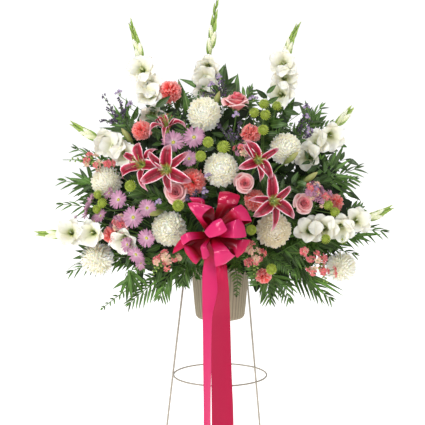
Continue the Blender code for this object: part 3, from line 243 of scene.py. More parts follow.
def petals(piece, base, along, upper, length, half, shape, look, bend, cup, rows, cols,
           thick=0.6 * MM, ruffle=0.0, waves=2.0, edge=0.0, edge_waves=3.0, fringe=0.0, twist=0.0,
           bend_power=1.0, fall=0.0):
    """Adds petals or leaflets. Each leaves its base along a direction and bends, in radians,
    toward its upper side. shape gives the half width for each share of the length, and cup
    how far the edges rise for the half width. ruffle waves the end across, edge waves the
    margins along, and fringe makes the end uneven."""
    n = max(len(np.atleast_2d(base)), len(np.atleast_2d(along)))
    base = np.broadcast_to(base, (n, 3))
    along = np.broadcast_to(unit(along), (n, 3))
    upper = np.broadcast_to(upper, (n, 3))
    upper = unit(upper - along * (upper * along).sum(-1, keepdims=True))
    side = np.cross(along, upper)
    v = np.linspace(0, 1, rows + 1)
    u = np.linspace(-1, 1, cols + 1)
    length = np.broadcast_to(np.asarray(length, float), (n,))
    half = np.broadcast_to(np.asarray(half, float), (n,))
    bend = np.broadcast_to(np.asarray(bend, float), (n,))
    angle = bend[:, None] * v[None] ** bend_power
    middle = (angle[:, 1:] + angle[:, :-1]) / 2
    steps = (np.cos(middle)[..., None] * along[:, None] + np.sin(middle)[..., None] * upper[:, None])
    steps = steps * (length[:, None] / rows)[..., None]
    line = np.concatenate([np.zeros((n, 1, 3)), np.cumsum(steps, 1)], 1) + base[:, None]
    line = line - UP * (np.asarray(fall) * length)[:, None, None] * (v ** 2)[None, :, None]
    face = -np.sin(angle)[..., None] * along[:, None] + np.cos(angle)[..., None] * upper[:, None]
    way = np.cos(angle)[..., None] * along[:, None] + np.sin(angle)[..., None] * upper[:, None]
    wide = half[:, None] * shape(v)[None]
    phase = rng.uniform(0, 2 * math.pi, n)
    across = np.broadcast_to(side[:, None], face.shape)
    if np.any(np.asarray(twist)):
        turn = (np.broadcast_to(np.asarray(twist, float), (n,))[:, None] * v[None])[..., None]
        cos, sin = np.cos(turn), np.sin(turn)
        across, face = across * cos + face * sin, face * cos - across * sin
    x = wide[..., None] * u[None, None]
    rise = wide[..., None] * (np.asarray(cup) * u ** 2)[None, None]
    rise = rise + col(ruffle) * half[:, None, None] * (v ** 2)[None, :, None] * np.sin(
        math.pi * waves * u[None, None] + phase[:, None, None])
    sign = np.sign(u)[None, None]
    rise = rise + edge * half[:, None, None] * (np.abs(u) ** 2)[None, None] * np.sin(
        2 * math.pi * edge_waves * v[None, :, None] + phase[:, None, None] + 1.7 * sign) * (
        np.sin(math.pi * np.clip(v, 0.02, 0.98)) ** 0.5)[None, :, None]
    push = fringe * length[:, None, None] * (v ** 8)[None, :, None] * np.cos(
        math.pi * 4.5 * u[None, None] + phase[:, None, None])
    grids = (line[:, :, None] + across[:, :, None] * x[..., None] + face[:, :, None] * rise[..., None]
             + way[:, :, None] * push[..., None])
    sheets(piece, grids, look, thick)


def blades(piece, roots, tips, upper, half, look, arch, rows, cols):
    """Adds leaves from roots to tips, each arched toward its upper side."""
    roots, tips = np.atleast_2d(roots), np.atleast_2d(tips)
    roots = np.broadcast_to(roots, tips.shape)
    chord = unit(tips - roots)
    upper = np.broadcast_to(upper, chord.shape)
    upper = unit(upper - chord * (upper * chord).sum(-1, keepdims=True))
    along = chord * math.cos(arch / 2) + upper * math.sin(arch / 2)
    length = np.linalg.norm(tips - roots, axis=-1) * (arch / 2) / math.sin(arch / 2)
    petals(piece, roots, along, upper, length, half, lance, look, bend=-arch, cup=0.3, rows=rows, cols=cols)


def rods(piece, line, radii, look, sides):
    """Adds a round rod along a line, closed at both ends."""
    line = np.asarray(line, float)
    radii = np.broadcast_to(np.asarray(radii, float), (len(line),))
    ways = tangents(line)
    side = square_to(ways[0])[0]
    turn = 2 * math.pi * np.arange(sides) / sides
    rings = []
    for point, way, radius in zip(line, ways, radii):
        side = unit(side - way * side.dot(way))
        other = np.cross(way, side)
        rings.append(point + (np.cos(turn)[:, None] * side + np.sin(turn)[:, None] * other) * radius)
    skin(piece, np.array(rings), line[0], line[-1], look)


def skin(piece, rings, first, last, look, tone=0.5):
    """Adds a closed skin through rings (rows, sides, 3), with a middle point at each end."""
    rows, sides = rings.shape[:2]
    points = np.vstack([first, rings.reshape(-1, 3), last])
    k = np.arange(sides)
    n = (k + 1) % sides
    faces = [np.stack([np.zeros(sides, int), 1 + n, 1 + k, 1 + k], -1)]
    for row in range(rows - 1):
        a = 1 + row * sides
        faces.append(np.stack([a + k, a + n, a + sides + n, a + sides + k], -1))
    a = 1 + (rows - 1) * sides
    end = np.full(sides, len(points) - 1)
    faces.append(np.stack([a + k, a + n, end, end], -1))
    v = np.concatenate([[0], np.repeat(np.linspace(0, 1, rows), sides), [1]])
    u = np.concatenate([[0], np.tile(2 * k / sides - 1, rows), [0]])
    piece.add(points, np.vstack(faces), np.stack([u, v, np.full(len(points), tone)], -1), look)


def turned(piece, centre, axis, profile, look, sides, waves=0, depth=0.0, tone=0.5):
    """Adds a body of revolution from (radius, height) rows along an axis, with waves."""
    side, other = square_to(axis)
    turn = 2 * math.pi * np.arange(sides) / sides
    out = np.cos(turn)[:, None] * side + np.sin(turn)[:, None] * other
    rings = []
    for radius, height in profile:
        reach = radius * (1 + depth * np.cos(waves * turn))
        rings.append(centre + axis * height + out * reach[:, None])
    first = centre + axis * profile[0][1]
    last = centre + axis * profile[-1][1]
    skin(piece, np.array(rings), first, last, look, tone)


def bud(piece, base, tip, radius, look, sides, fat, rows):
    """Adds a pointed bud, widest at the share fat of its length."""
    t = np.linspace(0, 1, rows + 1)
    width = np.where(t < fat, np.sin(t / fat * math.pi / 2) ** 0.8,
                     np.cos((t - fat) / (1 - fat) * math.pi / 2) ** 0.75)
    axis = tip - base
    length = np.linalg.norm(axis)
    profile = [(max(radius * w, 0.06 * radius), length * x) for w, x in zip(width, t)]
    turned(piece, base, axis / length, profile, look, sides, tone=rng.random())


def grains(piece, centres, axes, radii, look):
    """Adds small six-sided grains, for the middles of flowers."""
    centres = np.atleast_2d(centres)
    n = len(centres)
    axes = np.broadcast_to(axes, (n, 3))
    helper = np.where(np.abs(axes[:, 2:3]) < 0.9, UP[None], np.array([[1.0, 0, 0]]))
    side = unit(np.cross(axes, helper))
    other = np.cross(axes, side)
    radii = np.broadcast_to(radii, (n,))[:, None, None]
    turn = 2 * math.pi * np.arange(6) / 6
    ring = (np.cos(turn)[None, :, None] * side[:, None] + np.sin(turn)[None, :, None] * other[:, None])
    low = centres[:, None] + ring * radii * 0.75 - axes[:, None] * radii * 0.8
    high = centres[:, None] + ring * radii + axes[:, None] * radii * 0.25
    top = centres[:, None] + axes[:, None] * radii
    under = centres[:, None] - axes[:, None] * radii
    points = np.concatenate([under, low, high, top], 1)
    k = np.arange(6)
    m = (k + 1) % 6
    faces = np.vstack([np.stack([0 * k, 1 + m, 1 + k, 1 + k], -1), np.stack([1 + k, 1 + m, 7 + m, 7 + k], -1),
                       np.stack([7 + k, 7 + m, 0 * k + 13, 0 * k + 13], -1)])
    numbers = faces[None] + (np.arange(n) * 14)[:, None, None]
    places = np.zeros((n, 14, 3))
    places[..., 1] = np.array([0] + [0.2] * 6 + [0.7] * 6 + [1])[None]
    places[..., 2] = rng.random(n)[:, None]
    piece.add(points, numbers.reshape(-1, 4), places, look)


def round_dome(count, first, last):
    """Even places on a round head: angles from its crown, and turns."""
    k = (np.arange(count) + 0.5) / count
    high, low = math.cos(math.radians(first)), math.cos(math.radians(last))
    return np.arccos(high + (low - high) * k), GOLDEN * np.arange(count)


def directions(axis, polar, turn):
    """Outward directions at those angles, and the ways that lead down from the crown."""
    side, other = square_to(axis)
    flat = np.cos(turn)[:, None] * side + np.sin(turn)[:, None] * other
    out = flat * np.sin(polar)[:, None] + axis * np.cos(polar)[:, None]
    down = flat * np.cos(polar)[:, None] - axis * np.sin(polar)[:, None]
    return out, down


# Outlines of petals and leaves: the half width for each share of the length

def strap(v):
    return np.maximum((0.55 + 0.45 * v) * np.sqrt(np.clip(1 - v ** 5, 0, 1)), 0.12)


def lance(v):
    return np.maximum(np.sin(math.pi * np.clip(v, 0, 1) ** 0.72) ** 0.9, 0.05)


def oval(v):
    return np.maximum(np.sin(math.pi * (0.12 + 0.88 * v)) ** 0.6, 0.06)


def petal_tip(v):
    return np.maximum(np.sin(math.pi * np.clip(0.07 + 0.93 * v, 0, 1) ** 0.86) ** 1.1, 0.04)


def tepal(v):
    swell = np.sin(math.pi * v ** 1.2 * 0.95) ** 0.9
    return np.maximum(0.14 + 0.86 * swell, 0.1) * np.where(v > 0.97, 0.4, 1)


def wedge(v):
    return 0.14 + 0.86 * ease(v * 1.15) ** 1.3


# Looks

def rgb(code):
    """A linear colour from a hexadecimal screen colour."""
    parts = [int(code[k:k + 2], 16) / 255 for k in (0, 2, 4)]
    return tuple(p / 12.92 if p <= 0.04045 else ((p + 0.055) / 1.055) ** 2.4 for p in parts) + (1,)


class Look:
    """Builds one material with short calls."""

    def __init__(self, name):
        self.material = bpy.data.materials.new(name)
        self.material.use_nodes = True
        self.nodes = self.material.node_tree.nodes
        self.links = self.material.node_tree.links
        self.shader = self.nodes["Principled BSDF"]
        place = self.nodes.new("ShaderNodeAttribute")
        place.attribute_name = "place"
        split = self.nodes.new("ShaderNodeSeparateXYZ")
        self.links.new(place.outputs["Vector"], split.inputs[0])
        self.u, self.v, self.tone = split.outputs
        self.place = place.outputs["Vector"]

    def set(self, **values):
        for name, value in values.items():
            self.shader.inputs[name.replace("_", " ")].default_value = value
        return self

    def math(self, kind, a, b=0.0, c=0.0, clamp=False):
        node = self.nodes.new("ShaderNodeMath")
        node.operation = kind
        node.use_clamp = clamp
        for socket, value in zip(node.inputs, (a, b, c)):
            if isinstance(value, (int, float)):
                socket.default_value = value
            else:
                self.links.new(value, socket)
        return node.outputs[0]

    def ramp(self, factor, stops):
        node = self.nodes.new("ShaderNodeValToRGB")
        bar = node.color_ramp
        for k, (at, colour) in enumerate(stops):
            stop = bar.elements[k] if k < 2 else bar.elements.new(at)
            stop.position = at
            stop.color = rgb(colour) if isinstance(colour, str) else (colour,) * 3 + (1,)
        self.links.new(factor, node.inputs[0])
        return node.outputs[0]

    def mix(self, factor, a, b):
        node = self.nodes.new("ShaderNodeMix")
        node.data_type = "RGBA"
        sockets = {"f": node.inputs[0], "a": node.inputs[6], "b": node.inputs[7]}
        for key, value in (("f", factor), ("a", a), ("b", b)):
            if isinstance(value, str):
                sockets[key].default_value = rgb(value)
            elif isinstance(value, (int, float)):
                sockets[key].default_value = value
            else:
                self.links.new(value, sockets[key])
        return node.outputs[2]

    def noise(self, scale, detail=2.0):
        coord = self.nodes.new("ShaderNodeTexCoord")
        node = self.nodes.new("ShaderNodeTexNoise")
        node.inputs["Scale"].default_value = scale
        node.inputs["Detail"].default_value = detail
        self.links.new(coord.outputs["Object"], node.inputs["Vector"])
        return node.outputs[0]

    def brightened(self, colour, value):
        node = self.nodes.new("ShaderNodeHueSaturation")
        self.links.new(value, node.inputs["Value"])
        self.links.new(colour, node.inputs["Color"])
        return node.outputs[0]

    def shade(self, colour, low, high, mottle, scale=120.0):
        """Varies a colour a little from petal to petal and within each."""
        spread = self.math("MULTIPLY_ADD", self.tone, high - low, low)
        patch = self.math("MULTIPLY_ADD", self.noise(scale), 2 * mottle, 1 - mottle)
        return self.brightened(colour, self.math("MULTIPLY", spread, patch))

    def bump(self, height, strength, distance):
        node = self.nodes.new("ShaderNodeBump")
        node.inputs["Strength"].default_value = strength
        node.inputs["Distance"].default_value = distance
        self.links.new(height, node.inputs["Height"])
        self.links.new(node.outputs[0], self.shader.inputs["Normal"])
        return self

    def veins(self, count, strength=0.25, distance=0.0004):
        """Fine ridges that run along each petal or leaf."""
        wave = self.math("SINE", self.math("MULTIPLY", self.u, count))
        return self.bump(wave, strength, distance)

    def colour(self, colour):
        self.links.new(colour, self.shader.inputs["Base Color"])
        return self.material


def petal_look(name, stops, rough, low, high, glow, veins):
    """A petal: colours along it, and veins."""
    look = Look(name)
    colour = look.ramp(look.v, stops)
    look.veins(veins)
    look.set(Roughness=rough, Subsurface_Weight=glow, Subsurface_Radius=(0.004, 0.003, 0.002),
             Subsurface_Scale=1.0, Sheen_Weight=0.15, Sheen_Roughness=0.5, Specular_IOR_Level=0.35)
    return look.colour(look.shade(colour, low, high, 0.08))


def leaf_look(name, dark, light, rib, rough, low, high):
    """A leaf: a paler middle line, mottled greens and a soft gloss."""
    look = Look(name)
    colour = look.mix(look.noise(38.0, 3.0), dark, light)
    line = look.math("ABSOLUTE", look.u)
    line = look.math("MULTIPLY_ADD", line, -9.0, 1.0, clamp=True)
    colour = look.mix(look.math("MULTIPLY", line, 0.55), colour, rib)
    look.veins(22.0, 0.35, 0.0004)
    look.set(Roughness=rough, Specular_IOR_Level=0.25, Subsurface_Weight=0.04, Subsurface_Scale=0.5,
             Subsurface_Radius=(0.002, 0.004, 0.001))
    return look.colour(look.shade(colour, low, high, 0.12, 60.0))


def lily_look():
    """Crimson with a white margin, a pale middle line, darker spots and a green throat."""
    look = Look("lily petal")
    rim = look.math("ABSOLUTE", look.u)
    wobble = look.math("MULTIPLY_ADD", look.noise(240.0), 0.22, -0.11)
    rim = look.math("ADD", rim, wobble)
    body = look.ramp(rim, [(0.0, "a82840"), (0.05, "800822"), (0.2, "6e0418"), (0.56, "a00a2e"),
                           (0.78, "c43058"), (0.93, "f6dce0")])
    tip = look.ramp(look.v, [(0.0, 0.0), (0.66, 0.0), (0.93, 0.85)])
    body = look.mix(tip, body, "f2b8c6")
    throat = look.ramp(look.v, [(0.0, 1.0), (0.10, 0.8), (0.24, 0.0)])
    body = look.mix(throat, body, "a8b850")
    stretch = look.nodes.new("ShaderNodeMapping")
    stretch.inputs["Scale"].default_value = (4.0, 17.0, 9.0)
    look.links.new(look.place, stretch.inputs[0])
    cells = look.nodes.new("ShaderNodeTexVoronoi")
    cells.inputs["Scale"].default_value = 1.0
    look.links.new(stretch.outputs[0], cells.inputs["Vector"])
    spot = look.ramp(cells.outputs["Distance"], [(0.0, 1.0), (0.16, 1.0), (0.24, 0.0)])
    area = look.ramp(look.v, [(0.12, 0.0), (0.22, 1.0), (0.50, 1.0), (0.66, 0.0)])
    inside = look.math("LESS_THAN", rim, 0.62)
    spot = look.math("MULTIPLY", look.math("MULTIPLY", spot, area), look.math("MULTIPLY", inside, 0.85))
    body = look.mix(spot, body, "6e0620")
    look.veins(10.0, 0.4, 0.0006)
    look.set(Roughness=0.45, Subsurface_Weight=0.05, Subsurface_Scale=1.0,
             Subsurface_Radius=(0.004, 0.002, 0.002), Specular_IOR_Level=0.2)
    return look.colour(look.shade(body, 0.92, 1.06, 0.06))


def rose_look():
    """Rose petals: peach at the foot, pink with paler rims, and a deeper pink in the heart."""
    look = Look("rose petal")
    outer = look.ramp(look.v, [(0.0, "f0b088"), (0.3, "ee8084"), (0.75, "f28e92"), (0.90, "fabcba"),
                               (1.0, "ffdeda")])
    heart = look.ramp(look.v, [(0.0, "b82840"), (0.6, "d03c54"), (0.92, "e8687a"), (1.0, "f69ca0")])
    deep = look.ramp(look.tone, [(0.0, 1.0), (0.30, 1.0), (0.75, 0.0)])
    colour = look.mix(deep, outer, heart)
    patch = look.math("MULTIPLY_ADD", look.noise(90.0), 0.16, 0.92)
    look.veins(12.0)
    look.set(Roughness=0.5, Subsurface_Weight=0.2, Subsurface_Radius=(0.004, 0.003, 0.002),
             Subsurface_Scale=1.0, Sheen_Weight=0.15, Specular_IOR_Level=0.35)
    return look.colour(look.brightened(colour, patch))


def satin_look():
    """Satin ribbon: deep crimson as painted shade in its folds, pink as painted light where lit, with a soft
    gloss.
    """
    look = Look("satin ribbon")
    # The place's tone is a painted light level: low for painted shade, high for painted light.
    colour = look.ramp(look.tone, [(0.0, "6c0810"), (0.3, "920c1e"), (0.58, "b80a3e"), (1.0, "d02a66")])
    edge = look.ramp(look.math("ABSOLUTE", look.u), [(0.0, 0.0), (0.93, 0.0), (0.965, 0.3), (1.0, 0.2)])
    colour = look.mix(edge, colour, "980834")
    look.bump(look.noise(26.0, 2.0), 0.10, 0.002)
    look.set(Roughness=0.26, Specular_Tint=(1.0, 0.50, 0.66, 1.0), Specular_IOR_Level=0.22, Coat_Weight=0.25,
             Coat_Roughness=0.16, Coat_IOR=1.3)
    return look.colour(colour)


def pot_look():
    look = Look("ribbed pot")
    speck = look.noise(700.0, 2.0)
    colour = look.mix(look.noise(60.0, 3.0), "988c74", "a89c84")
    colour = look.mix(look.ramp(speck, [(0.0, 0.5), (0.42, 0.0), (0.6, 0.0)]), colour, "7c725e")
    coord = look.nodes.new("ShaderNodeTexCoord")
    parts = look.nodes.new("ShaderNodeSeparateXYZ")
    look.links.new(coord.outputs["Object"], parts.inputs[0])
    angle = look.math("ARCTAN2", look.math("ADD", parts.outputs[1], float(MIDDLE[1])),
                      look.math("ADD", parts.outputs[0], float(MIDDLE[0])))
    # Painted shade: the hollows between the ribs darken toward 5c5444.
    painted_groove_shade = look.math("ABSOLUTE", look.math("COSINE", look.math("MULTIPLY", angle, RIBS / 2)))
    painted_groove_shade = look.ramp(painted_groove_shade, [(0.0, 0.75), (0.25, 0.45), (0.7, 0.0)])
    colour = look.mix(painted_groove_shade, colour, "5c5444")
    look.bump(speck, 0.4, 0.0005)
    look.set(Roughness=0.8)
    return look.colour(colour)


def wire_look():
    look = Look("painted wire")
    grain = look.noise(420.0, 2.0)
    colour = look.mix(look.noise(30.0), "a49c8e", "b2aa9c")
    look.bump(grain, 0.25, 0.0003)
    look.set(Roughness=0.42, Specular_IOR_Level=0.5)
    return look.colour(colour)


def foam_look():
    look = Look("floral foam")
    pores = look.noise(900.0, 3.0)
    colour = look.mix(pores, "1c3a1c", "3d6a38")
    look.bump(pores, 0.7, 0.0012)
    look.set(Roughness=0.95, Specular_IOR_Level=0.2)
    return look.colour(colour)


# Petals: colours from foot to end, roughness, least and most brightness, glow and veins.
PETAL_LOOKS = {
    "white petal": ([(0.0, "98a034"), (0.16, "c8cc7c"), (0.36, "e8e6c2"), (0.7, "f3f0e0"), (1.0, "f6f4ea")],
                     0.5, 0.92, 1.04, 0.3, 10.0),
    "cream petal": ([(0.0, "f0e8b8"), (0.3, "fbf6da"), (0.8, "fffcec"), (1.0, "fffdf2")], 0.6, 0.97, 1.05,
                     0.6, 6.0),
    "ivory petal": ([(0.0, "d0bf90"), (0.35, "ecdfbe"), (0.8, "f6ecd6"), (1.0, "faf3e4")], 0.6, 0.93, 1.04,
                     0.5, 6.0),
    "coral petal": ([(0.0, "d8443e"), (0.5, "fa5f5c"), (0.85, "ff807c"), (1.0, "ffb0a8")], 0.6, 0.92, 1.12,
                     0.4, 12.0),
    "lavender ray": ([(0.0, "e2c2ce"), (0.3, "c88eaa"), (1.0, "b4789a")], 0.55, 0.8, 1.12, 0.2, 7.0),
    "stock petal": ([(0.0, "f0e0b0"), (0.3, "f4b098"), (0.65, "e8606c"), (1.0, "e8707c")], 0.55, 0.75, 1.2,
                     0.3, 9.0),
    "stock cream": ([(0.0, "c8d08c"), (0.4, "f0dcb8"), (1.0, "ecb0a0")], 0.55, 0.8, 1.1, 0.2, 9.0),
    "lilac petal": ([(0.0, "d8d0e0"), (0.4, "a48cb8"), (1.0, "84689c")], 0.55, 0.8, 1.15, 0.1, 6.0),
    "statice": ([(0.0, "2c2434"), (1.0, "584668")], 0.7, 0.6, 1.2, 0.0, 3.0),
    "lime scale": ([(0.0, "567010"), (0.5, "98ac28"), (1.0, "bccc44")], 0.55, 0.85, 1.12, 0.1, 6.0),
    "green bud": ([(0.0, "587a24"), (0.6, "86a43c"), (1.0, "b8c868")], 0.5, 0.85, 1.1, 0.08, 9.0),
    "olive bud": ([(0.0, "5c6c2c"), (0.6, "8c9448"), (1.0, "b0aa64")], 0.5, 0.85, 1.1, 0.08, 9.0),
    "pale bud": ([(0.0, "94ad52"), (0.5, "dfe3b4"), (1.0, "f6f4e4")], 0.5, 0.92, 1.05, 0.15, 9.0),
    "yellow eye": ([(0.0, "6c7018"), (0.6, "a4a42c"), (1.0, "ccc04c")], 0.6, 0.8, 1.15, 0.05, 3.0),
    "anther": ([(0.0, "6a3412"), (1.0, "a85a24")], 0.8, 0.8, 1.1, 0.0, 3.0),
}
# Leaves: dark and light greens, the rib, roughness, least and most brightness.
LEAF_LOOKS = {
    "strand": ("6c8058", "8c9c74", "a0b088", 0.5, 0.75, 1.25),
    "stem": ("486a28", "688a3c", "86a858", 0.5, 0.85, 1.1),
    "palm leaf": ("223a10", "5c8832", "a8c070", 0.38, 0.4, 1.6),
    "fern leaf": ("284014", "5f8c34", "98b864", 0.42, 0.45, 1.5),
    "broad leaf": ("1c3210", "4a6e2a", "84a458", 0.34, 0.45, 1.5),
    "back leaf": ("243a16", "486628", "74944c", 0.45, 0.6, 1.4),
    # The inner leaves' near black greens are painted shade.
    "shade leaf": ("101c08", "223a12", "304c1a", 0.8, 0.5, 1.3),
}
LOOKS = {name: petal_look(name, *row) for name, row in PETAL_LOOKS.items()}
LOOKS.update({name: leaf_look(name, *row) for name, row in LEAF_LOOKS.items()})
LOOKS.update({"lily petal": lily_look(), "pink petal": rose_look(), "satin": satin_look(), "pot": pot_look(),
              "wire": wire_look(), "foam": foam_look()})


# Heads of flowers

def core(piece, centre, axis, radius, flat, look):
    """The closed middle of a dense head."""
    angles = np.linspace(0.12, math.pi - 0.12, 9)
    profile = [(radius * math.sin(a), -radius * flat * math.cos(a)) for a in angles]
    turned(piece, centre, axis, profile, look, 18, tone=0.1)


def mum(piece, centre, axis, r, look, loose):
    """A football chrysanthemum: petals that curl in over its crown, and looser straps low on
    its sides."""
    count = 230
    core(piece, centre - axis * 0.08 * r, axis, 0.80 * r, 0.92, look)
    polar, turn = round_dome(count, 4, 142)
    turn = turn + rng.normal(0, 0.06, count)
    out, down = directions(axis, polar, turn)
    share = polar / math.radians(142)
    lean = 0.95 + 0.15 * share
    along = out * np.cos(lean)[:, None] + down * np.sin(lean)[:, None]
    upper = out * np.sin(lean)[:, None] - down * np.cos(lean)[:, None]
    low = ease((share - 0.55) / 0.35)
    bend = 2.15 - 0.4 * share - low * (1.0 + loose) + rng.normal(0, 0.14, count)
    base = centre + (out - axis * 0.10) * (0.66 * r)
    length = r * (0.44 + 0.16 * share + low * 0.30 * loose) * rng.uniform(0.88, 1.10, count)
    half = r * (0.105 + 0.05 * share) * rng.uniform(0.9, 1.15, count)
    petals(piece, base, along, upper, length, half, strap, look, bend=bend, cup=0.45, rows=6, cols=3,
           thick=0.9 * MM, twist=rng.normal(0, 0.16, count))


def carnation(piece, centre, axis, r):
    """A carnation: fringed, ruffled fans packed over a dome, above a green calyx."""
    count = 40
    polar, turn = round_dome(count, 4, 86)
    out, down = directions(axis, polar, turn + rng.normal(0, 0.15, count))
    share = polar / math.radians(86)
    base = centre - axis * (0.62 * r) + out * (0.10 * r)
    length = r * (1.28 - 0.30 * share) * rng.uniform(0.92, 1.04, count)
    half = r * (0.36 + 0.14 * share) * rng.uniform(0.9, 1.1, count)
    upper = unit(axis - out * (out @ axis)[:, None] + down * 0.001) - down * 0.2
    petals(piece, base, out, upper, length, half, wedge, "coral petal", bend=-0.25 - 0.75 * share,
           bend_power=2.0, cup=0.12, rows=6, cols=10, ruffle=rng.uniform(0.30, 0.52, count), waves=2.6,
           fringe=0.035, twist=rng.normal(0, 0.3, count))
    profile = [(0.12 * r, -1.25 * r), (0.22 * r, -1.0 * r), (0.26 * r, -0.6 * r), (0.22 * r, -0.4 * r)]
    turned(piece, centre, axis, profile, "stem", 10)


def rose(piece, centre, axis, r):
    """A rose: petals wrapped round a high bud, the outer ones open with pointed rolled rims."""
    side, other = square_to(axis)
    count, rows, cols = 17, 10, 14
    v = np.linspace(0, 1, rows + 1)[:, None]
    u = np.linspace(-1, 1, cols + 1)[None]
    grids = []
    for k in range(count):
        f = k / (count - 1)
        middle = GOLDEN * k + rng.normal(0, 0.1)
        spread = math.radians(125 - 70 * f)
        foot = (0.08 + 0.16 * f) * r
        rim = (0.10 + 0.80 * f ** 1.1) * r * rng.uniform(0.95, 1.05)
        top = (0.52 - 0.50 * f ** 1.6) * r + rng.normal(0, 0.02) * r
        width = np.sin(math.pi / 2 * np.clip(v * 1.25, 0, 1)) * 0.75 + 0.25
        angle = middle + spread * u * width
        rise = v * (1 - (0.14 + 0.26 * f) * np.abs(u) ** 1.8)
        reach = foot + (rim - foot) * np.sin(rise * math.pi / 2) ** (1.3 - 0.3 * f)
        reach = reach * (1 - 0.10 * (1 - f) * u)
        roll = np.clip(v - 0.74, 0, 1) / 0.26
        reach = reach + roll ** 2 * (0.02 + 0.20 * f) * r
        height = -0.80 * r + (top + 0.80 * r) * rise ** 0.85 - roll ** 2.4 * (0.01 + 0.17 * f) * r
        height = height + 0.03 * r * f * np.sin(5 * u + k)
        flat = np.cos(angle)[..., None] * side + np.sin(angle)[..., None] * other
        grids.append(centre + flat * reach[..., None] + axis * height[..., None])
    tone = np.linspace(0, 1, count)[:, None, None]
    sheets(piece, np.array(grids), "pink petal", 0.7 * MM, tone)
    profile = [(0.07 * r, -1.02 * r), (0.24 * r, -0.88 * r), (0.30 * r, -0.72 * r), (0.18 * r, -0.55 * r)]
    turned(piece, centre, axis, profile, "stem", 10)
    turn = 2 * math.pi * np.arange(5) / 5
    out, _ = directions(axis, np.full(5, math.radians(62)), turn)
    petals(piece, centre - axis * 0.82 * r + out * 0.10 * r, out, axis - out * 0.2, 0.8 * r, 0.13 * r, lance,
           "stem", bend=-0.7, cup=0.3, rows=6, cols=2)


def lily(piece, centre, axis, reach, turn_degrees):
    """An open lily: six recurved petals, six stamens and a style."""
    side, other = square_to(axis)
    base = centre - axis * 26 * MM
    rows, cols = 18, 8
    t = np.linspace(0, 1, rows + 1)
    for k in range(6):
        angle = math.radians(60 * k + turn_degrees + rng.normal(0, 9))
        out = side * math.cos(angle) + other * math.sin(angle)
        flat = np.cross(axis, out)
        broad = 1.12 if k % 2 else 0.72
        long = reach * MM * rng.uniform(0.88, 1.14)
        rise = (3 if k % 2 else 0) * MM
        sway = rng.normal(0, 9) * MM
        drop = rng.uniform(-18, 6)
        shares = [0.05, 0.22, 0.46, 0.74, 0.97, 1.10]
        heights = [-2, 14, 24, 27, 20 + drop * 0.4, 6 + drop]
        line = smooth_line([base + out * (s * long) + axis * (h * MM + rise) + flat * sway * s ** 2
                            for s, h in zip(shares, heights)], rows)
        ways = tangents(line)
        across = np.broadcast_to(np.cross(out, axis), ways.shape)
        face = unit(np.cross(across, ways))
        face = np.where((face @ axis)[:, None] < -0.6, -face, face)
        wide = 0.235 * reach * MM * broad * petal_tip(t)
        u = np.linspace(-1, 1, cols + 1)
        phase = rng.uniform(0, 6.28)
        x = wide[:, None] * u[None]
        wave = 0.20 * wide[:, None] * u[None] ** 2 * np.sin(15 * t[:, None] + phase + 1.5 * np.sign(u[None]))
        lift = 0.34 * wide[:, None] * u[None] ** 2 + wave
        lift = lift - 0.12 * wide[:, None] * np.exp(-(u[None] / 0.2) ** 2)
        grid = line[:, None] + across[:, None] * x[..., None] + face[:, None] * lift[..., None]
        sheets(piece, grid, "lily petal", 0.9 * MM)
    for k in range(6):
        angle = math.radians(60 * k + turn_degrees + 25)
        out = side * math.cos(angle) + other * math.sin(angle)
        line = smooth_line([base, base + axis * 18 * MM + out * 3 * MM, base + axis * 34 * MM + out * 8 * MM,
                            base + axis * 44 * MM + out * 17 * MM], 8)
        rods(piece, line, 0.7 * MM, "green bud", 6)
        flat = np.cross(axis, out)
        bud(piece, line[-1] - flat * 5 * MM, line[-1] + flat * 5 * MM, 1.6 * MM, "anther", 6, 0.5, 5)
    line = smooth_line([base, base + axis * 24 * MM, base + axis * 50 * MM + side * 4 * MM], 6)
    rods(piece, line, 0.9 * MM, "green bud", 6)
    bud(piece, line[-1] - axis * 2 * MM, line[-1] + axis * 2.5 * MM, 2.3 * MM, "green bud", 8, 0.5, 4)
    turned(piece, base, axis, [(2.5 * MM, -9 * MM), (5 * MM, -5 * MM), (6.5 * MM, 2 * MM), (5 * MM, 9 * MM)],
           "green bud", 12)


def floret(piece, root, axis, length, radius):
    """An open gladiolus flower: six broad ruffled petals round a greenish throat."""
    side, other = square_to(axis)
    spin = rng.uniform(0, 1)
    turn = spin + 2 * math.pi * np.arange(6) / 6
    flat = np.cos(turn)[:, None] * side + np.sin(turn)[:, None] * other
    inner = np.arange(6) % 2 == 0
    tilt = np.where(inner, 0.42, 0.56)[:, None]
    along = unit(axis * np.cos(tilt) + flat * np.sin(tilt))
    upper = axis - flat * 0.3
    size = np.where(inner, 1.0, 0.92) * rng.uniform(0.94, 1.05, 6)
    petals(piece, root + axis * 2 * MM + flat * 1.5 * MM, along, upper, length * 1.22 * size,
           radius * 0.60 * size, tepal, "white petal", bend=-rng.uniform(0.8, 1.5, 6), bend_power=2.0,
           cup=0.36, rows=10, cols=8, thick=0.7 * MM, edge=0.15, edge_waves=1.2, ruffle=0.07, waves=1.6)
    for k in range(3):
        line = smooth_line([root, root + axis * length * 0.45 + flat[k] * 1.5 * MM,
                            root + axis * length * 0.72 + flat[k] * 3 * MM], 4)
        rods(piece, line, 0.6 * MM, "pale bud", 5)
    petals(piece, root - axis * 2 * MM, unit(axis + flat[:2] * 0.2), flat[:2], length * 0.62, radius * 0.22,
           lance, "green bud", bend=0.15, cup=-0.8, rows=6, cols=4)


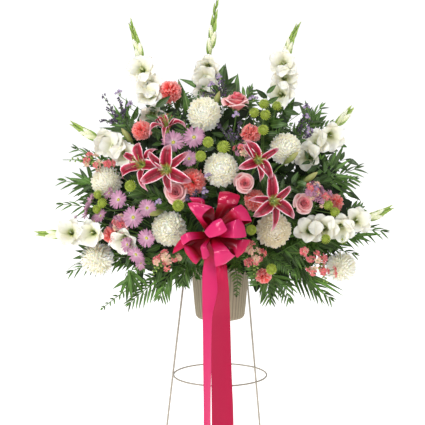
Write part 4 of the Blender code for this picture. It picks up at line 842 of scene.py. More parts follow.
def daisy(piece, centre, axis, r):
    """A daisy: two layers of narrow rays round a domed eye."""
    count = 38
    turn = 2 * math.pi * np.arange(count) / count + rng.normal(0, 0.05, count)
    polar = np.where(np.arange(count) % 2 == 0, 1.40, 1.25) + rng.normal(0, 0.07, count)
    out, down = directions(axis, polar, turn)
    base = centre + out * 0.18 * r
    petals(piece, base, out, -down, r * 0.88 * rng.uniform(0.9, 1.06, count), r * 0.12, strap, "lavender ray",
           bend=rng.normal(-0.15, 0.25, count), cup=0.25, rows=4, cols=2, thick=0.6 * MM)
    profile = [(0.14 * r, -0.10 * r), (0.20 * r, 0.0), (0.17 * r, 0.08 * r), (0.10 * r, 0.12 * r),
               (0.03 * r, 0.13 * r)]
    turned(piece, centre, axis, profile, "yellow eye", 14)
    polar, turn = round_dome(46, 3, 80)
    out, _ = directions(axis, polar, turn)
    grains(piece, centre + out * (0.175 * r) - axis * 0.06 * r, out, 0.026 * r, "yellow eye")
    cup = [(0.08 * r, -0.30 * r), (0.2 * r, -0.2 * r), (0.24 * r, -0.06 * r)]
    turned(piece, centre, axis, cup, "stem", 10)


def pom(piece, centre, axis, r):
    """A green button flower: short scales round a tight greener middle."""
    count = 74
    core(piece, centre - axis * 0.1 * r, axis, 0.62 * r, 0.7, "lime scale")
    polar, turn = round_dome(count, 6, 112)
    out, down = directions(axis, polar, turn)
    out = unit(out - axis * 0.10)
    lean = 0.55
    along = out * math.cos(lean) + down * math.sin(lean)
    upper = out * math.sin(lean) - down * math.cos(lean)
    share = polar / math.radians(112)
    petals(piece, centre + out * 0.42 * r - axis * 0.05 * r, along, upper, r * (0.42 + 0.22 * share),
           r * (0.07 + 0.055 * share), strap, "lime scale", bend=1.1, cup=0.6, rows=3, cols=2, thick=0.5 * MM)


def stock_flower(piece, centre, axis, r, count, look):
    """A double stock flower: a loose rosette of ruffled petals."""
    polar, turn = round_dome(count, 12, 86)
    out, down = directions(axis, polar, turn)
    share = polar / math.radians(86)
    petals(piece, centre - axis * 0.25 * r, out, -down, r * (0.75 + 0.35 * share), r * 0.36, wedge, look,
           bend=-0.5 * share, cup=0.2, rows=4, cols=4, thick=0.5 * MM, ruffle=0.30, waves=1.8,
           twist=rng.normal(0, 0.3, count))


def small_star(piece, centre, axis, r, eye=True):
    """A small five-petalled flower."""
    turn = rng.uniform(0, 6) + 2 * math.pi * np.arange(5) / 5
    out, down = directions(axis, np.full(5, 1.2), turn)
    petals(piece, centre, out, -down, r, r * 0.36, oval, "lilac petal", bend=-0.1, cup=0.2, rows=4, cols=2,
           thick=0.5 * MM)
    if eye:
        grains(piece, centre + axis * r * 0.12, axis, r * 0.18, "yellow eye")


# Where everything is, as in the part's own source but for a few sizes and one more bud.
# x, z, extra depth (centimetres), radius in millimetres, turn to the viewer, lean.
MUMS = {
    "mum_1": (-4.5, 121.4, -2.0, 46, 0.55, (0, 0, -0.1)),
    "mum_2": (0.2, 105.8, -1.5, 46, 0.7, (0, 0, 0)),
    "mum_3": (18.4, 111.7, -3.0, 43, 0.55, (0, 0, 0)),
    "mum_4": (-32.1, 102.5, -3.0, 42, 0.5, (0, 0, 0)),
    "mum_5": (-14.5, 89.2, -2.8, 47, 0.7, (0, 0, 0.1)),
    "mum_6": (15.2, 88.6, -2.5, 46, 0.7, (0, 0, 0)),
    "mum_7": (-35.2, 80.4, -3.0, 46, 0.0, (-0.8, 0, -0.5)),
    "mum_8": (34.6, 78.2, -3.0, 42, 0.0, (0.9, 0, -0.2)),
}
CARNATIONS = {
    "carnations_top": [(-14.4, 127.8, -2.0, 31, 0.6, (-0.1, 0, 0.2)),
                       (-22.2, 117.0, -1.0, 25, 0.6, (0, 0, 0))],
    "carnations_left": [(-7.9, 102.5, -1.5, 33, 0.75, (0, 0, 0)),
                        (-31.4, 87.2, -1.0, 21, 0.2, (-0.2, 0, -0.4))],
    "carnations_right": [(9.9, 97.2, -2.5, 27, 0.7, (0, 0, 0)), (8.6, 116.4, -1.5, 25, 0.3, (0, 0, 0.5))],
    "carnations_low": [(33.0, 96.7, -2.0, 21, 0.2, (0.2, 0, 0)), (12.5, 75.3, -3.0, 21, 0.4, (0, 0, -0.6))],
}
ROSES = {
    "rose_1": (4.6, 125.2, -2.0, 38, 0.2, (0, 0, 0.5)),
    "rose_2": (-12.5, 99.4, -0.5, 32, 0.7, (0, 0, 0)),
    "rose_3": (6.9, 101.9, -0.5, 27, 0.75, (0, 0, 0)),
    "rose_4": (-27.8, 90.5, -1.0, 25, 0.6, (0, 0, 0)),
    "rose_5": (23.5, 96.3, -1.5, 28, 0.6, (0, 0, 0)),
}
# The same with a reach for the radius, a turn in degrees, and each bud's x, z and extra depth.
LILIES = {
    "lily_1": (-22.6, 107.5, 1.5, 60, 0.5, (-0.2, 0, 0), 20, [(-27.5, 117.2, -1)]),
    "lily_2": (-15.3, 105.8, 3.0, 64, 0.75, (0, 0, -0.1), 30, [(-19.9, 93.0, 2.5)]),
    "lily_3": (-15.0, 118.6, 1.0, 44, 0.3, (0.1, 0, 0.5), 10, [(-0.2, 127.5, -2)]),
    "lily_4": (10.8, 108.4, 2.5, 54, 0.75, (0, 0, 0), 30, [(21.8, 110.6, 1)]),
    "lily_5": (15.2, 96.9, 2.5, 60, 0.75, (0, 0, 0), 15, [(27.2, 105.0, 0)]),
}
# Each spike's stem from low to tip (x, z, depth), and its open flowers (x, z).
GLADIOLI = {
    "gladiolus_1": ([(-18.6, 121, 5), (-20.6, 131, 4), (-22.6, 139, 3.5), (-24.8, 146.4, 3)],
                    [(-19.0, 122.4), (-20.4, 126.2), (-18.9, 129.6), (-21.4, 133.4)]),
    "gladiolus_2": ([(-4.2, 124, 2), (-3.2, 133, 1.5), (-2.2, 143, 1), (-1.0, 152.3, 0.5)],
                    [(-4.6, 127.8), (-4.4, 131.4), (-2.3, 134.9)]),
    "gladiolus_3": ([(17.2, 123, 3), (17.6, 132, 2.5), (18.8, 139, 2), (21.4, 145.7, 1.5)],
                    [(16.6, 126.4), (17.6, 131.2), (17.2, 135.0)]),
    "gladiolus_4": ([(22.5, 105, 8), (28, 113, 7), (32.4, 118, 6), (36.1, 122.4, 5)],
                    [(24.9, 109.4), (27.2, 113.4), (30.6, 116.4)]),
    "gladiolus_5": ([(22, 87.5, 13), (33, 90, 12), (41, 92, 11), (47.6, 94.9, 10)],
                    [(25.4, 88.2), (29.6, 90.4), (34.2, 90.0), (38.2, 91.9)]),
    "gladiolus_6": ([(-24, 87.2, 13), (-35, 88, 12), (-43, 87.6, 11), (-51.2, 87.8, 10)],
                    [(-27.2, 86.0), (-36.2, 88.6), (-43.0, 89.4)]),
    "gladiolus_7": ([(-25, 109, 8), (-31, 113, 7), (-36, 115.4, 6), (-41, 118.4, 5)],
                    [(-27.4, 109.6), (-29.2, 112.8), (-33.2, 113.6)]),
}
# The share of a spike from which it has only buds.
GREEN_FROM = {"gladiolus_4": 0.72, "gladiolus_5": 0.70, "gladiolus_6": 0.76}
GREEN_FROM_OTHERS = 0.56
DAISIES = {
    "daisies_top": [(-13.0, 113.2, 0.5, 31, 0.6, (0, 0, 0)), (-7.3, 114.6, 0.5, 30, 0.6, (0, 0, 0)),
                    (-8.7, 108.7, 0.5, 22, 0.7, (0, 0, 0.1))],
    "daisies_left": [(-24.3, 92.3, 0.5, 29, 0.6, (0, 0, 0)), (-28.4, 97.2, 0.0, 26, 0.5, (0, 0, 0)),
                     (-20.4, 94.9, 0.5, 24, 0.7, (0, 0, 0)), (-20.6, 86.5, 0.5, 25, 0.6, (0, 0, -0.2)),
                     (-23.6, 81.9, 0.0, 25, 0.4, (0, 0, -0.4)), (-36.0, 97.0, 0.0, 22, 0.1, (-0.4, 0, 0.3)),
                     (-37.4, 93.5, 0.5, 20, 0.1, (-0.4, 0, 0)), (-40.4, 91.3, 0.0, 18, 0.0, (-0.4, 0, 0)),
                     (-33.4, 92.7, 0.5, 20, 0.3, (0, 0, 0.2))],
}
POMS = {
    "poms_right": [(12.6, 121.0, 0.5, 15, 0.5, (0, 0, 0)), (12.2, 124.0, -0.5, 15, 0.4, (0, 0, 0)),
                   (15.8, 123.5, -0.5, 14, 0.4, (0, 0, 0)), (9.5, 121.6, 0.5, 14, 0.5, (0, 0, 0)),
                   (12.0, 116.8, 1.0, 15, 0.5, (0, 0, 0)), (1.0, 112.1, 1.5, 18, 0.6, (0, 0, 0.3)),
                   (30.3, 95.8, 0.5, 14, 0.5, (0, 0, 0)), (32.2, 93.8, 1.0, 14, 0.5, (0, 0, 0)),
                   (34.6, 86.2, 0.5, 14, 0.4, (0, 0, 0)), (29.7, 86.2, 1.0, 14, 0.4, (0, 0, 0)),
                   (14.5, 77.6, 1.5, 15, 0.4, (0, 0, 0)), (8.8, 88.8, 0.5, 14, 0.7, (0, 0, 0))],
    "poms_left": [(-25.2, 101.2, 1.0, 16, 0.5, (0, 0, 0)), (-11.8, 95.7, 1.5, 16, 0.7, (0, 0, 0)),
                  (-34.3, 98.8, 1.0, 13, 0.3, (0, 0, 0)), (-33.1, 96.4, 1.0, 14, 0.4, (0, 0, 0)),
                  (-34.6, 94.6, 1.0, 13, 0.3, (0, 0, 0)), (-3.4, 113.4, 2.0, 15, 0.6, (0, 0, 0)),
                  (-5.5, 109.5, 2.0, 15, 0.6, (0, 0, 0))],
}
ASTERS = [(-4.3, 99.7), (-3.4, 104.2), (-17.6, 96.6), (4.4, 121.1), (9.1, 125.6), (-0.3, 131.3),
          (-2.7, 129.4), (-28.2, 127.1), (-25.3, 123.8), (23.7, 123.3), (24.2, 120.4), (24.6, 116.8),
          (26.8, 100.6)]
# Each stalk's tufts of flowers and its tip (x, z).
STOCK = {
    "stock_left": [[(-30.9, 107.2), (-34.2, 106.8), (-35.2, 109.8), (-37.4, 108.2), (-43.9, 108.4)]],
    "stock_low_left": [[(-11.9, 80.6), (-14.6, 81.5), (-15.5, 79.0), (-17.7, 80.1), (-19.8, 75.3)]],
    "stock_low_right": [[(8.5, 82.9), (11.4, 82.3), (10.6, 80.1), (8.7, 79.8), (9.7, 74.2)],
                        [(23.7, 82.7), (26.5, 80.9), (29.1, 80.3), (26.0, 78.1), (28.4, 76.6),
                         (31.4, 76.6), (30.2, 72.6)]],
}
# Each frond's tip (x, z, depth) and its longest leaflet in millimetres.
FRONDS = {
    "palm_left": [(-43.6, 102.6, 6, 52), (-40.0, 111.4, 5, 46), (-42.0, 77.0, 8, 40),
                 (-44.5, 96.0, 9, 40)],
    "palm_right": [(38.0, 106.0, 6, 60), (45.6, 88.4, 8, 52), (37.6, 82.0, 8, 44), (28.0, 123.0, 5, 46)],
    "fern_low_left": [(-17.0, 70.0, 14, 44), (-25.5, 68.0, 13, 40), (-33.1, 66.6, 10, 46),
                     (-10.5, 73.8, 15, 36)],
    "fern_low_right": [(4.6, 70.4, 15, 42), (14.0, 69.0, 13, 46), (19.4, 69.2, 11, 40),
                      (31.0, 69.4, 9, 44)],
    "fronds_back": [(-24.0, 108.0, -14, 60), (24.0, 106.0, -14, 60), (0.0, 118.0, -12, 60),
                   (-22.0, 84.0, -16, 60), (22.0, 84.0, -16, 60), (0.0, 92.0, -20, 60),
                   (-9.0, 78.5, -18, 66), (10.0, 78.0, -18, 66), (-29.0, 95.0, -9, 66),
                   (30.0, 94.0, -9, 66), (-12.0, 106.0, -17, 66), (12.0, 105.0, -17, 66),
                   (-13.0, 119.0, -7, 60), (13.0, 118.0, -8, 60)],
}
FERNS = (("fern_low_left", 2), ("fern_low_right", 0))
BACK_REACH = 0.95               # keeps the back fronds' tips in the part's box
# Single leaves: the tip (x, z, depth), and the length and half width in millimetres.
LEAVES = [(-6.8, 135.0, 2, 95, 9), (-11.8, 130.6, 4, 90, 9), (-10.2, 127.4, 8, 80, 9),
          (1.4, 135.0, 2, 95, 9), (4.9, 132.2, 4, 90, 9), (20.9, 125.4, 5, 90, 11),
          (26.0, 122.8, 3, 100, 8), (-17.0, 124.0, 8, 80, 10), (-30.0, 122.0, 4, 90, 9),
          (9.0, 129.5, 4, 80, 8)]


# Stems

def from_foam(spot):
    """Where the straight line from the foam's middle to a spot comes out of the foam."""
    return HEART + unit(spot - HEART) * FOAM_REACH


def stem(piece, end, axis, radius):
    """A stem from the foam to where a head sits on it."""
    out = unit(end - HEART)
    start = from_foam(end)
    reach = np.linalg.norm(end - start)
    line = smooth_line([start, start + out * reach * 0.45, end - axis * min(0.03, 0.25 * reach), end], 12)
    rods(piece, line, radius, "stem", 8)


def build_flowers():
    """The chrysanthemums, carnations, roses and lilies."""
    for name, (x, z, extra, r, toward, lean) in MUMS.items():
        look = "ivory petal" if name == "mum_6" else "cream petal"
        piece = Piece(name, name, [look, "stem"], "cream_mum")
        centre = spot_of(x, z, extra)
        axis = facing(centre, toward, lean)
        mum(piece, centre, axis, r * 0.9 * MM, look, 0.9 if name == "mum_6" else 0.3)
        stem(piece, centre - axis * r * 0.5 * MM, axis, 2.3 * MM)
        piece.finish()
    for name, rows in CARNATIONS.items():
        piece = Piece(name, name, ["coral petal", "stem"], "coral")
        for x, z, extra, r, toward, lean in rows:
            centre = spot_of(x, z, extra)
            axis = facing(centre, toward, lean)
            carnation(piece, centre, axis, r * 0.92 * MM)
            stem(piece, centre - axis * r * 1.1 * MM, axis, 2.0 * MM)
        piece.finish()
    for name, (x, z, extra, r, toward, lean) in ROSES.items():
        piece = Piece(name, name, ["pink petal", "stem"], "rose_pink")
        centre = spot_of(x, z, extra)
        axis = facing(centre, toward, lean)
        rose(piece, centre, axis, r * MM)
        stem(piece, centre - axis * r * 0.9 * MM, axis, 2.2 * MM)
        piece.finish()
    for name, (x, z, extra, reach, toward, lean, turn, buds) in LILIES.items():
        piece = Piece(name, name, ["lily petal", "green bud", "olive bud", "anther", "stem"], "lily_crimson")
        centre = spot_of(x, z, extra)
        axis = facing(centre, toward, lean)
        lily(piece, centre, axis, reach, turn)
        base = centre - axis * 30 * MM
        stem(piece, base, axis, 2.3 * MM)
        for bx, bz, more in buds:
            tip = spot_of(bx, bz, more)
            away = unit(tip - (HEART + (base - HEART) * 0.6))
            bud(piece, tip - away * 54 * MM, tip, 8.5 * MM, "olive bud", 10, 0.5, 9)
            petals(piece, tip - away * 52 * MM, away, -FRONT, 50 * MM, 6 * MM, lance, "olive bud", bend=-0.2,
                   cup=0.6, rows=8, cols=4)
            stem(piece, tip - away * 52 * MM, away, 1.9 * MM)
        piece.finish()


def build_gladioli():
    """Spikes with open flowers low down, and buds and sheaths to the tip."""
    for name, (spike, flowers) in GLADIOLI.items():
        green = GREEN_FROM.get(name, GREEN_FROM_OTHERS)
        line = smooth_line([sight(*spot) for spot in spike], 60)
        piece = Piece(name, name, ["white petal", "pale bud", "green bud", "stem"], "white_petal")
        tip_name = name.replace("gladiolus", "gladiolus_tip")
        tip = Piece(tip_name, tip_name, ["pale bud", "green bud", "stem"], "bud_green")
        split = int(60 * green)
        widths = np.interp(np.linspace(0, 1, 61), [0, 0.5, 1], [3.4, 2.6, 1.2]) * MM
        way = unit(line[6] - line[0])
        foot = from_foam(line[0])
        reach = np.linalg.norm(line[0] - foot)
        low = smooth_line([foot, foot + unit(line[0] - HEART) * reach * 0.5,
                           line[0] - way * min(0.04, 0.2 * reach), line[0]], 16)
        whole = np.vstack([low[:-1], line[:split + 1]])
        rods(piece, whole, np.concatenate([np.full(16, 3.4 * MM), widths[:split + 1]]), "stem", 10)
        rods(tip, line[split:], widths[split:], "stem", 8)
        for x, z in flowers:
            aim = sight(x, z, spike[0][2] + 3.2)
            root = min(line[:split + 1], key=lambda p: np.linalg.norm(p - aim))
            axis = unit(unit(aim - root) * 0.7 + FRONT * 0.45 + rng.normal(0, 0.2, 3))
            floret(piece, root, axis, 46 * MM, 35 * MM)
        count = 8
        for k in range(count):
            share = green - 0.09 + (0.93 - green + 0.09) * k / (count - 1)
            at = min(57, int(60 * share))
            root = line[at]
            way = unit(line[at + 1] - line[at])
            side = square_to(way, FRONT)[0]
            out = unit(side * (0.26 if k % 2 else -0.26) + way * 1.6 + FRONT * 0.14)
            long = min((58 - 3.4 * k) * MM, np.linalg.norm(line[-1] - root) + 14 * MM)
            fat = (8.6 - 0.72 * k) * MM
            owner = piece if share < green else tip
            low = root - out * 1.5 * MM
            if k < 3:
                bud(owner, low, root + out * long * 0.95, fat, "pale bud", 8, 0.55, 8)
            else:
                bud(owner, low, root + out * long * 0.9, fat * 0.75, "green bud", 8, 0.45, 8)
            face = side * (-1 if k % 2 else 1) + FRONT * 0.2
            petals(owner, root - out * 3 * MM, out, face, long, fat * 1.2, lance, "green bud", bend=0.10,
                   cup=-0.8, rows=7, cols=4, thick=0.5 * MM)
        piece.finish()
        tip.finish()


def spray(piece, ends, radius):
    """Stems that branch from one place on the way to their heads."""
    middle = np.mean([end for end, _ in ends], 0)
    fork = HEART + (middle - HEART) * 0.55
    out = unit(fork - HEART)
    start = from_foam(fork)
    rods(piece, smooth_line([start, (start + fork) / 2, fork], 8), radius * 1.4, "stem", 8)
    for end, axis in ends:
        reach = np.linalg.norm(end - fork)
        line = smooth_line([fork, fork + (end - fork) * 0.5 + out * 0.08 * reach - axis * 0.05 * reach,
                            end - axis * min(0.015, 0.2 * reach), end], 12)
        rods(piece, line, radius, "stem", 6)


# Small things that show between the flowers: tufts of stock (x, z, florets), daisies
# (x, z, radius), and where statice and strands fork (x, z, depth) with their ends (x, z).
LOOSE_STOCK = [(27.2, 100.0, 26), (30.0, 98.2, 12), (6.6, 111.9, 10), (-29.6, 91.0, 8)]
LOOSE_DAISIES = [(-37.0, 95.2, 16), (-35.2, 91.2, 18), (-26.0, 84.6, 22), (-22.2, 79.4, 20),
                 (-31.0, 99.0, 18)]
STATICE = [((-26.0, 118.0, 5), [(-32.4, 126.0), (-31.0, 122.6), (-30.2, 119.6), (-28.2, 125.4),
                                (-26.4, 122.4), (-33.0, 119.4)]),
           ((4.0, 112.0, 14), [(-0.4, 118.0), (2.6, 117.4), (5.6, 118.8), (8.6, 117.6)]),
           ((1.0, 124.0, 8), [(-1.0, 131.6), (-3.0, 128.8), (0.4, 130.4), (-4.4, 126.6)]),
           ((22.6, 113.0, 8), [(24.0, 123.6), (24.8, 119.6), (25.4, 116.0), (22.2, 119.0)]),
           ((-8.0, 96.0, 20), [(-6.4, 99.8), (-4.2, 98.4), (-9.6, 97.4), (-5.0, 96.0)])]
STRANDS = [((-34.0, 80.6, 9), [(-43.2, 74.2), (-40.6, 73.9), (-43.3, 77.2), (-44.8, 75.5)])]


def build_small():
    """Loose florets, statice, thin strands and daisies between and beside the flowers."""
    looks = ["stock petal", "stock cream", "lavender ray", "lilac petal", "statice", "stem"]
    piece = Piece("loose_florets", (), looks, "stock_red")
    for x, z, count in LOOSE_STOCK:
        centre = spot_of(x, z, 0.5)
        axis = facing(centre, 0.4)
        polar, turn = round_dome(count, 5, 85)
        out, _ = directions(axis, polar, turn)
        knot = centre - axis * 22 * MM
        for k in range(count):
            place = knot + out[k] * rng.uniform(18, 28) * MM
            look = ("stock petal", "lavender ray", "stock cream", "lavender ray")[k % 4]
            stock_flower(piece, place, out[k], rng.uniform(8, 11) * MM, 9, look)
            rods(piece, np.array([knot, (knot + place) / 2, place]), 0.7 * MM, "stem", 4)
        rods(piece, np.array([from_foam(knot), (HEART + knot) / 2, knot]), 1.5 * MM, "stem", 6)
    for start, ends in STATICE:
        root = sight(*start)
        rods(piece, np.array([from_foam(root), (HEART + root) / 2, root]), 1.3 * MM, "stem", 6)
        for x, z in ends:
            end = sight(x, z, start[2] + rng.uniform(0, 2))
            line = smooth_line([root, (root + end) / 2 + rng.normal(0, 4, 3) * MM, end], 8)
            rods(piece, line, 1.0 * MM, "stem", 5)
            spots = line[rng.integers(3, 9, 40)] + rng.normal(0, 2.9, (40, 3)) * MM
            ways = unit(rng.normal(0, 1, (40, 3)) + FRONT)
            grains(piece, spots, ways, rng.uniform(1.4, 2.6, 40) * MM, "statice")
            for spot in spots[:2]:
                way = unit(rng.normal(0, 0.5, 3) + FRONT)
                small_star(piece, spot, way, rng.uniform(3.0, 4.4) * MM, False)
    piece.finish()
    piece = Piece("strands", (), ["strand"], "leaf")
    for (x, z, depth), ends in STRANDS:
        root = sight(x, z, depth)
        tips = np.array([sight(tx, tz, depth + rng.uniform(-2, 2)) for tx, tz in ends])
        blades(piece, root, tips, UP, 2.6 * MM, "strand", 0.9, 12, 2)
        rods(piece, np.array([from_foam(root), (HEART + root) / 2, root]), 1.3 * MM, "strand", 6)
    piece.finish()
    piece = Piece("loose_daisies", (), ["lavender ray", "yellow eye", "stem"], "lavender")
    for x, z, r in LOOSE_DAISIES:
        centre = spot_of(x, z, -1.0)
        axis = facing(centre, 0.3, (-0.2, 0, 0.1))
        daisy(piece, centre, axis, r * MM)
        stem(piece, centre - axis * r * 0.28 * MM, axis, 1.2 * MM)
    piece.finish()


def build_sprays():
    """The branched flowers: daisies, button flowers, stock and asters."""
    for name, rows in DAISIES.items():
        piece = Piece(name, name, ["lavender ray", "yellow eye", "stem"], "lavender")
        ends = []
        for x, z, extra, r, toward, lean in rows:
            centre = spot_of(x, z, extra)
            axis = facing(centre, toward, lean)
            daisy(piece, centre, axis, r * MM)
            ends.append((centre - axis * r * 0.28 * MM, axis))
        spray(piece, ends, 1.3 * MM)
        piece.finish()
    for name, rows in POMS.items():
        piece = Piece(name, name, ["lime scale", "stem"], "pom_green")
        ends = []
        for x, z, extra, r, toward, lean in rows:
            centre = spot_of(x, z, extra)
            axis = facing(centre, toward, lean)
            pom(piece, centre, axis, r * 1.05 * MM)
            ends.append((centre - axis * r * 0.5 * MM, axis))
        spray(piece, ends, 1.2 * MM)
        piece.finish()
    for name, stalks in STOCK.items():
        piece = Piece(name, name, ["stock petal", "stock cream", "green bud", "stem"], "stock_red")
        for stalk in stalks:
            stock(piece, stalk)
        piece.finish()
    piece = Piece("asters", "asters", ["lilac petal", "yellow eye", "green bud", "stem"], "aster_lilac")
    ends = []
    for x, z in ASTERS:
        centre = spot_of(x, z, 0.5)
        axis = facing(centre, 0.5)
        side, other = square_to(axis)
        knot = centre - axis * 14 * MM
        for k in range(5):
            turn = 2 * math.pi * k / 5 + rng.uniform(0, 1)
            shift = (side * math.cos(turn) + other * math.sin(turn)) * rng.uniform(4, 9) * MM * (k > 0)
            way = unit(axis + shift * 40)
            spot = centre + shift + axis * rng.uniform(-3, 2) * MM
            if k == 3:
                bud(piece, spot - way * 4 * MM, spot + way * 3 * MM, 1.8 * MM, "green bud", 6, 0.5, 4)
            else:
                small_star(piece, spot, way, rng.uniform(5.0, 6.4) * MM)
            rods(piece, np.array([knot, (knot + spot) / 2 + axis * MM, spot - way * MM]), 0.6 * MM, "stem", 5)
        ends.append((knot, axis))
    spray(piece, ends, 0.9 * MM)
    piece.finish()


def stock(piece, stalk):
    """A stalk of stock: double flowers, then green buds at its drooping tip."""
    spots = [spot_of(x, z, 0.5) for x, z in stalk[:-1]]
    tip = spot_of(*stalk[-1], -1.0)
    low = spots[0] * 0.6 + spots[1] * 0.4
    middle = np.mean(spots[1:], 0)
    line = smooth_line([low - FRONT * 14 * MM, middle - FRONT * 12 * MM, tip], 24)
    rods(piece, line, np.linspace(2.0, 0.8, 25) * MM, "stem", 8)
    for spot in spots:
        for _ in range(3):
            place = spot + rng.normal(0, 7.5, 3) * MM
            root = min(line, key=lambda p: np.linalg.norm(p - place))
            axis = unit(place - root)
            kind = "stock cream" if rng.random() < 0.34 else "stock petal"
            stock_flower(piece, place, axis, rng.uniform(7.5, 12.5) * MM, 10, kind)
            rods(piece, np.array([root, (root + place) / 2, place]), 0.8 * MM, "stem", 5)
    for k in range(11):
        at = 11 + k
        root = line[at]
        way = unit(line[min(24, at + 1)] - root)
        side = square_to(way, FRONT)[0]
        out = unit(side * (1 if k % 2 else -1) + FRONT * rng.uniform(0, 1.0) + way * 0.8)
        long = (14 - 0.7 * k) * MM
        bud(piece, root, root + out * long, (3.9 - 0.2 * k) * MM, "green bud", 7, 0.6, 6)
    stem(piece, low - FRONT * 13 * MM, unit(low - HEART), 2.0 * MM)


# Foliage

def feathered(piece, path, upper, longest, look, pairs=15, sweep=0.62, half=0.085, droop=0.12, taper=False):
    """A palm frond: a thin rib with narrow leaflets on both sides."""
    first = 0.18
    line = smooth_line(path, 40)
    ways = tangents(line)
    rods(piece, line[::4], np.linspace(2.2, 0.9, 11) * MM, look, 6)
    t = np.repeat(np.linspace(first, 0.985, pairs), 2) + rng.uniform(-0.006, 0.006, 2 * pairs)
    t = np.clip(t, 0, 1)
    at = np.clip((t * 40).astype(int), 0, 40)
    sign = np.tile([-1.0, 1.0], pairs)
    side = unit(np.cross(ways[at], upper)) * sign[:, None]
    face = unit(np.cross(np.cross(ways[at], upper), ways[at]))
    swell = np.sin(math.pi * (0.20 + 0.74 * (t - first) / (1 - first)))
    if taper:
        swell = 1.0 - 0.95 * (t - first) / (1 - first)
    length = longest * (0.30 + 0.75 * swell) * rng.uniform(0.88, 1.08, 2 * pairs)
    turn = sweep + 0.45 * (t - first) + rng.normal(0, 0.05, 2 * pairs)
    along = side * np.cos(turn)[:, None] + ways[at] * np.sin(turn)[:, None] - face * 0.10
    petals(piece, line[at], along, face, length, length * half + 1.1 * MM, lance, look,
           bend=-rng.uniform(0.15, 0.55, 2 * pairs), cup=0.30, rows=5, cols=2, fall=droop,
           twist=rng.normal(0, 0.18, 2 * pairs))
    end = ways[-1]
    petals(piece, line[-1], end, upper, longest * 0.28, 3.2 * MM, lance, look, bend=-0.2, cup=0.3, rows=6,
           cols=2)


def palm(piece, path, upper, longest, look):
    """A palm tip with few, long leaflets."""
    feathered(piece, path, upper, longest * 1.4, look, pairs=11, sweep=0.70, half=0.048, droop=0.10)


def fern(piece, path, upper, longest, look):
    """A sword fern: short leaflets set close, shorter toward the tip."""
    feathered(piece, path, upper, longest * 0.72, look, pairs=14, sweep=0.36, droop=0.05, taper=True)


def ferny(piece, path, upper, longest, look, pairs):
    """A leatherleaf frond: a triangle of side branches, each cut into small leaflets."""
    first = 0.16
    line = smooth_line(path, 40)
    ways = tangents(line)
    rods(piece, line[::2], np.linspace(1.6, 0.5, 21) * MM, look, 6)
    for k in range(pairs):
        t = first + (0.96 - first) * k / (pairs - 1)
        at = int(t * 40)
        for sign in (-1, 1):
            way = ways[at]
            side = unit(np.cross(way, upper)) * sign
            face = unit(np.cross(np.cross(way, upper), way))
            long = longest * 1.15 * (1.0 - 0.86 * (t - first) / (1 - first)) * rng.uniform(0.9, 1.08)
            along = unit(side * 0.88 + way * 0.47 - face * 0.14)
            bough = line[at] + along * long * np.linspace(0, 1, 9)[:, None] - face * (0.14 * long) * (
                np.linspace(0, 1, 9)[:, None] ** 2)
            steps = max(4, int(long / (5.0 * MM)))
            f = np.repeat(np.linspace(0.12, 0.96, steps), 2)
            spot = np.array([np.interp(f, np.linspace(0, 1, 9), bough[:, j]) for j in range(3)]).T
            small = np.tile([-1.0, 1.0], steps)
            edge = unit(np.cross(along, face))
            leaf = long * 0.30 * (1.02 - 0.75 * f) * rng.uniform(0.85, 1.1, 2 * steps)
            ahead = unit(edge * small[:, None] * 0.86 + along * 0.52 - face * 0.1)
            petals(piece, spot, ahead, face, leaf, leaf * 0.26 + 0.9 * MM, oval, look,
                   bend=-rng.uniform(0, 0.5, 2 * steps), cup=0.2, rows=2, cols=2, thick=0.5 * MM)
            rods(piece, bough[::4], np.linspace(0.7, 0.3, 3) * MM, look, 4)


def frond_path(tip):
    """A frond's rib: straight out for the far ones, over the pot's rim and down for the near ones."""
    steps, most = 14, 0.26
    out = unit(tip - HEART)
    if np.linalg.norm(tip - HEART) < 0.25 and tip[2] < 0.80:
        flat = unit(tip * (1, 1, 0))
        rim = HEART + flat * 0.125 - UP * 0.01
        path = smooth_line([HEART + flat * 0.075 + UP * 0.01, rim, (rim + tip) / 2 + flat * 0.02, tip], steps)
        return path[0], path
    reach = min(most, np.linalg.norm(tip - HEART) - 0.14)
    foot = tip - out * reach
    return foot, arc(foot, out + UP * 0.35, tip, steps)


def build_foliage():
    """The fronds and single leaves that are nodes of the part."""
    for name, rows in FRONDS.items():
        look = "back leaf" if name == "fronds_back" else "palm leaf"
        piece = Piece(name, name, [look, "stem"], "leaf")
        for k, (x, z, depth, longest) in enumerate(rows):
            tip = sight(x, z, depth)
            grow = fern if (name, k) in FERNS else palm
            if name == "fronds_back":
                grow = feathered
                tip = HEART + (tip - HEART) * BACK_REACH
            foot, path = frond_path(tip)
            back = tip[1] >= 0.05
            upper = unit(FRONT * (-0.7 if back else 0.7) + UP * 0.6)
            grow(piece, path, upper, longest * MM, look)
            start = from_foam(foot)
            line = smooth_line([start, (start + foot) / 2, foot + (path[1] - foot) * 0.3], 8)
            rods(piece, line, 2.0 * MM, look, 6)
        piece.finish()
    piece = Piece("leaves_top", "leaves_top", ["palm leaf", "stem"], "leaf")
    for x, z, depth, length, half in LEAVES:
        tip = sight(x, z, depth)
        out = unit(tip - HEART)
        foot = tip - out * length * MM
        upper = unit(FRONT * 0.8 + UP * 0.4)
        petals(piece, foot, unit(out + UP * 0.15), upper, length * 1.02 * MM, half * 1.2 * MM, lance,
               "palm leaf", bend=-0.25, cup=0.35, rows=14, cols=4, thick=0.7 * MM, edge=0.05)
        line = smooth_line([HEART + out * FOAM_REACH, (HEART + foot) / 2, foot + out * 5 * MM], 8)
        rods(piece, line, 1.6 * MM, "stem", 6)
    piece.finish()


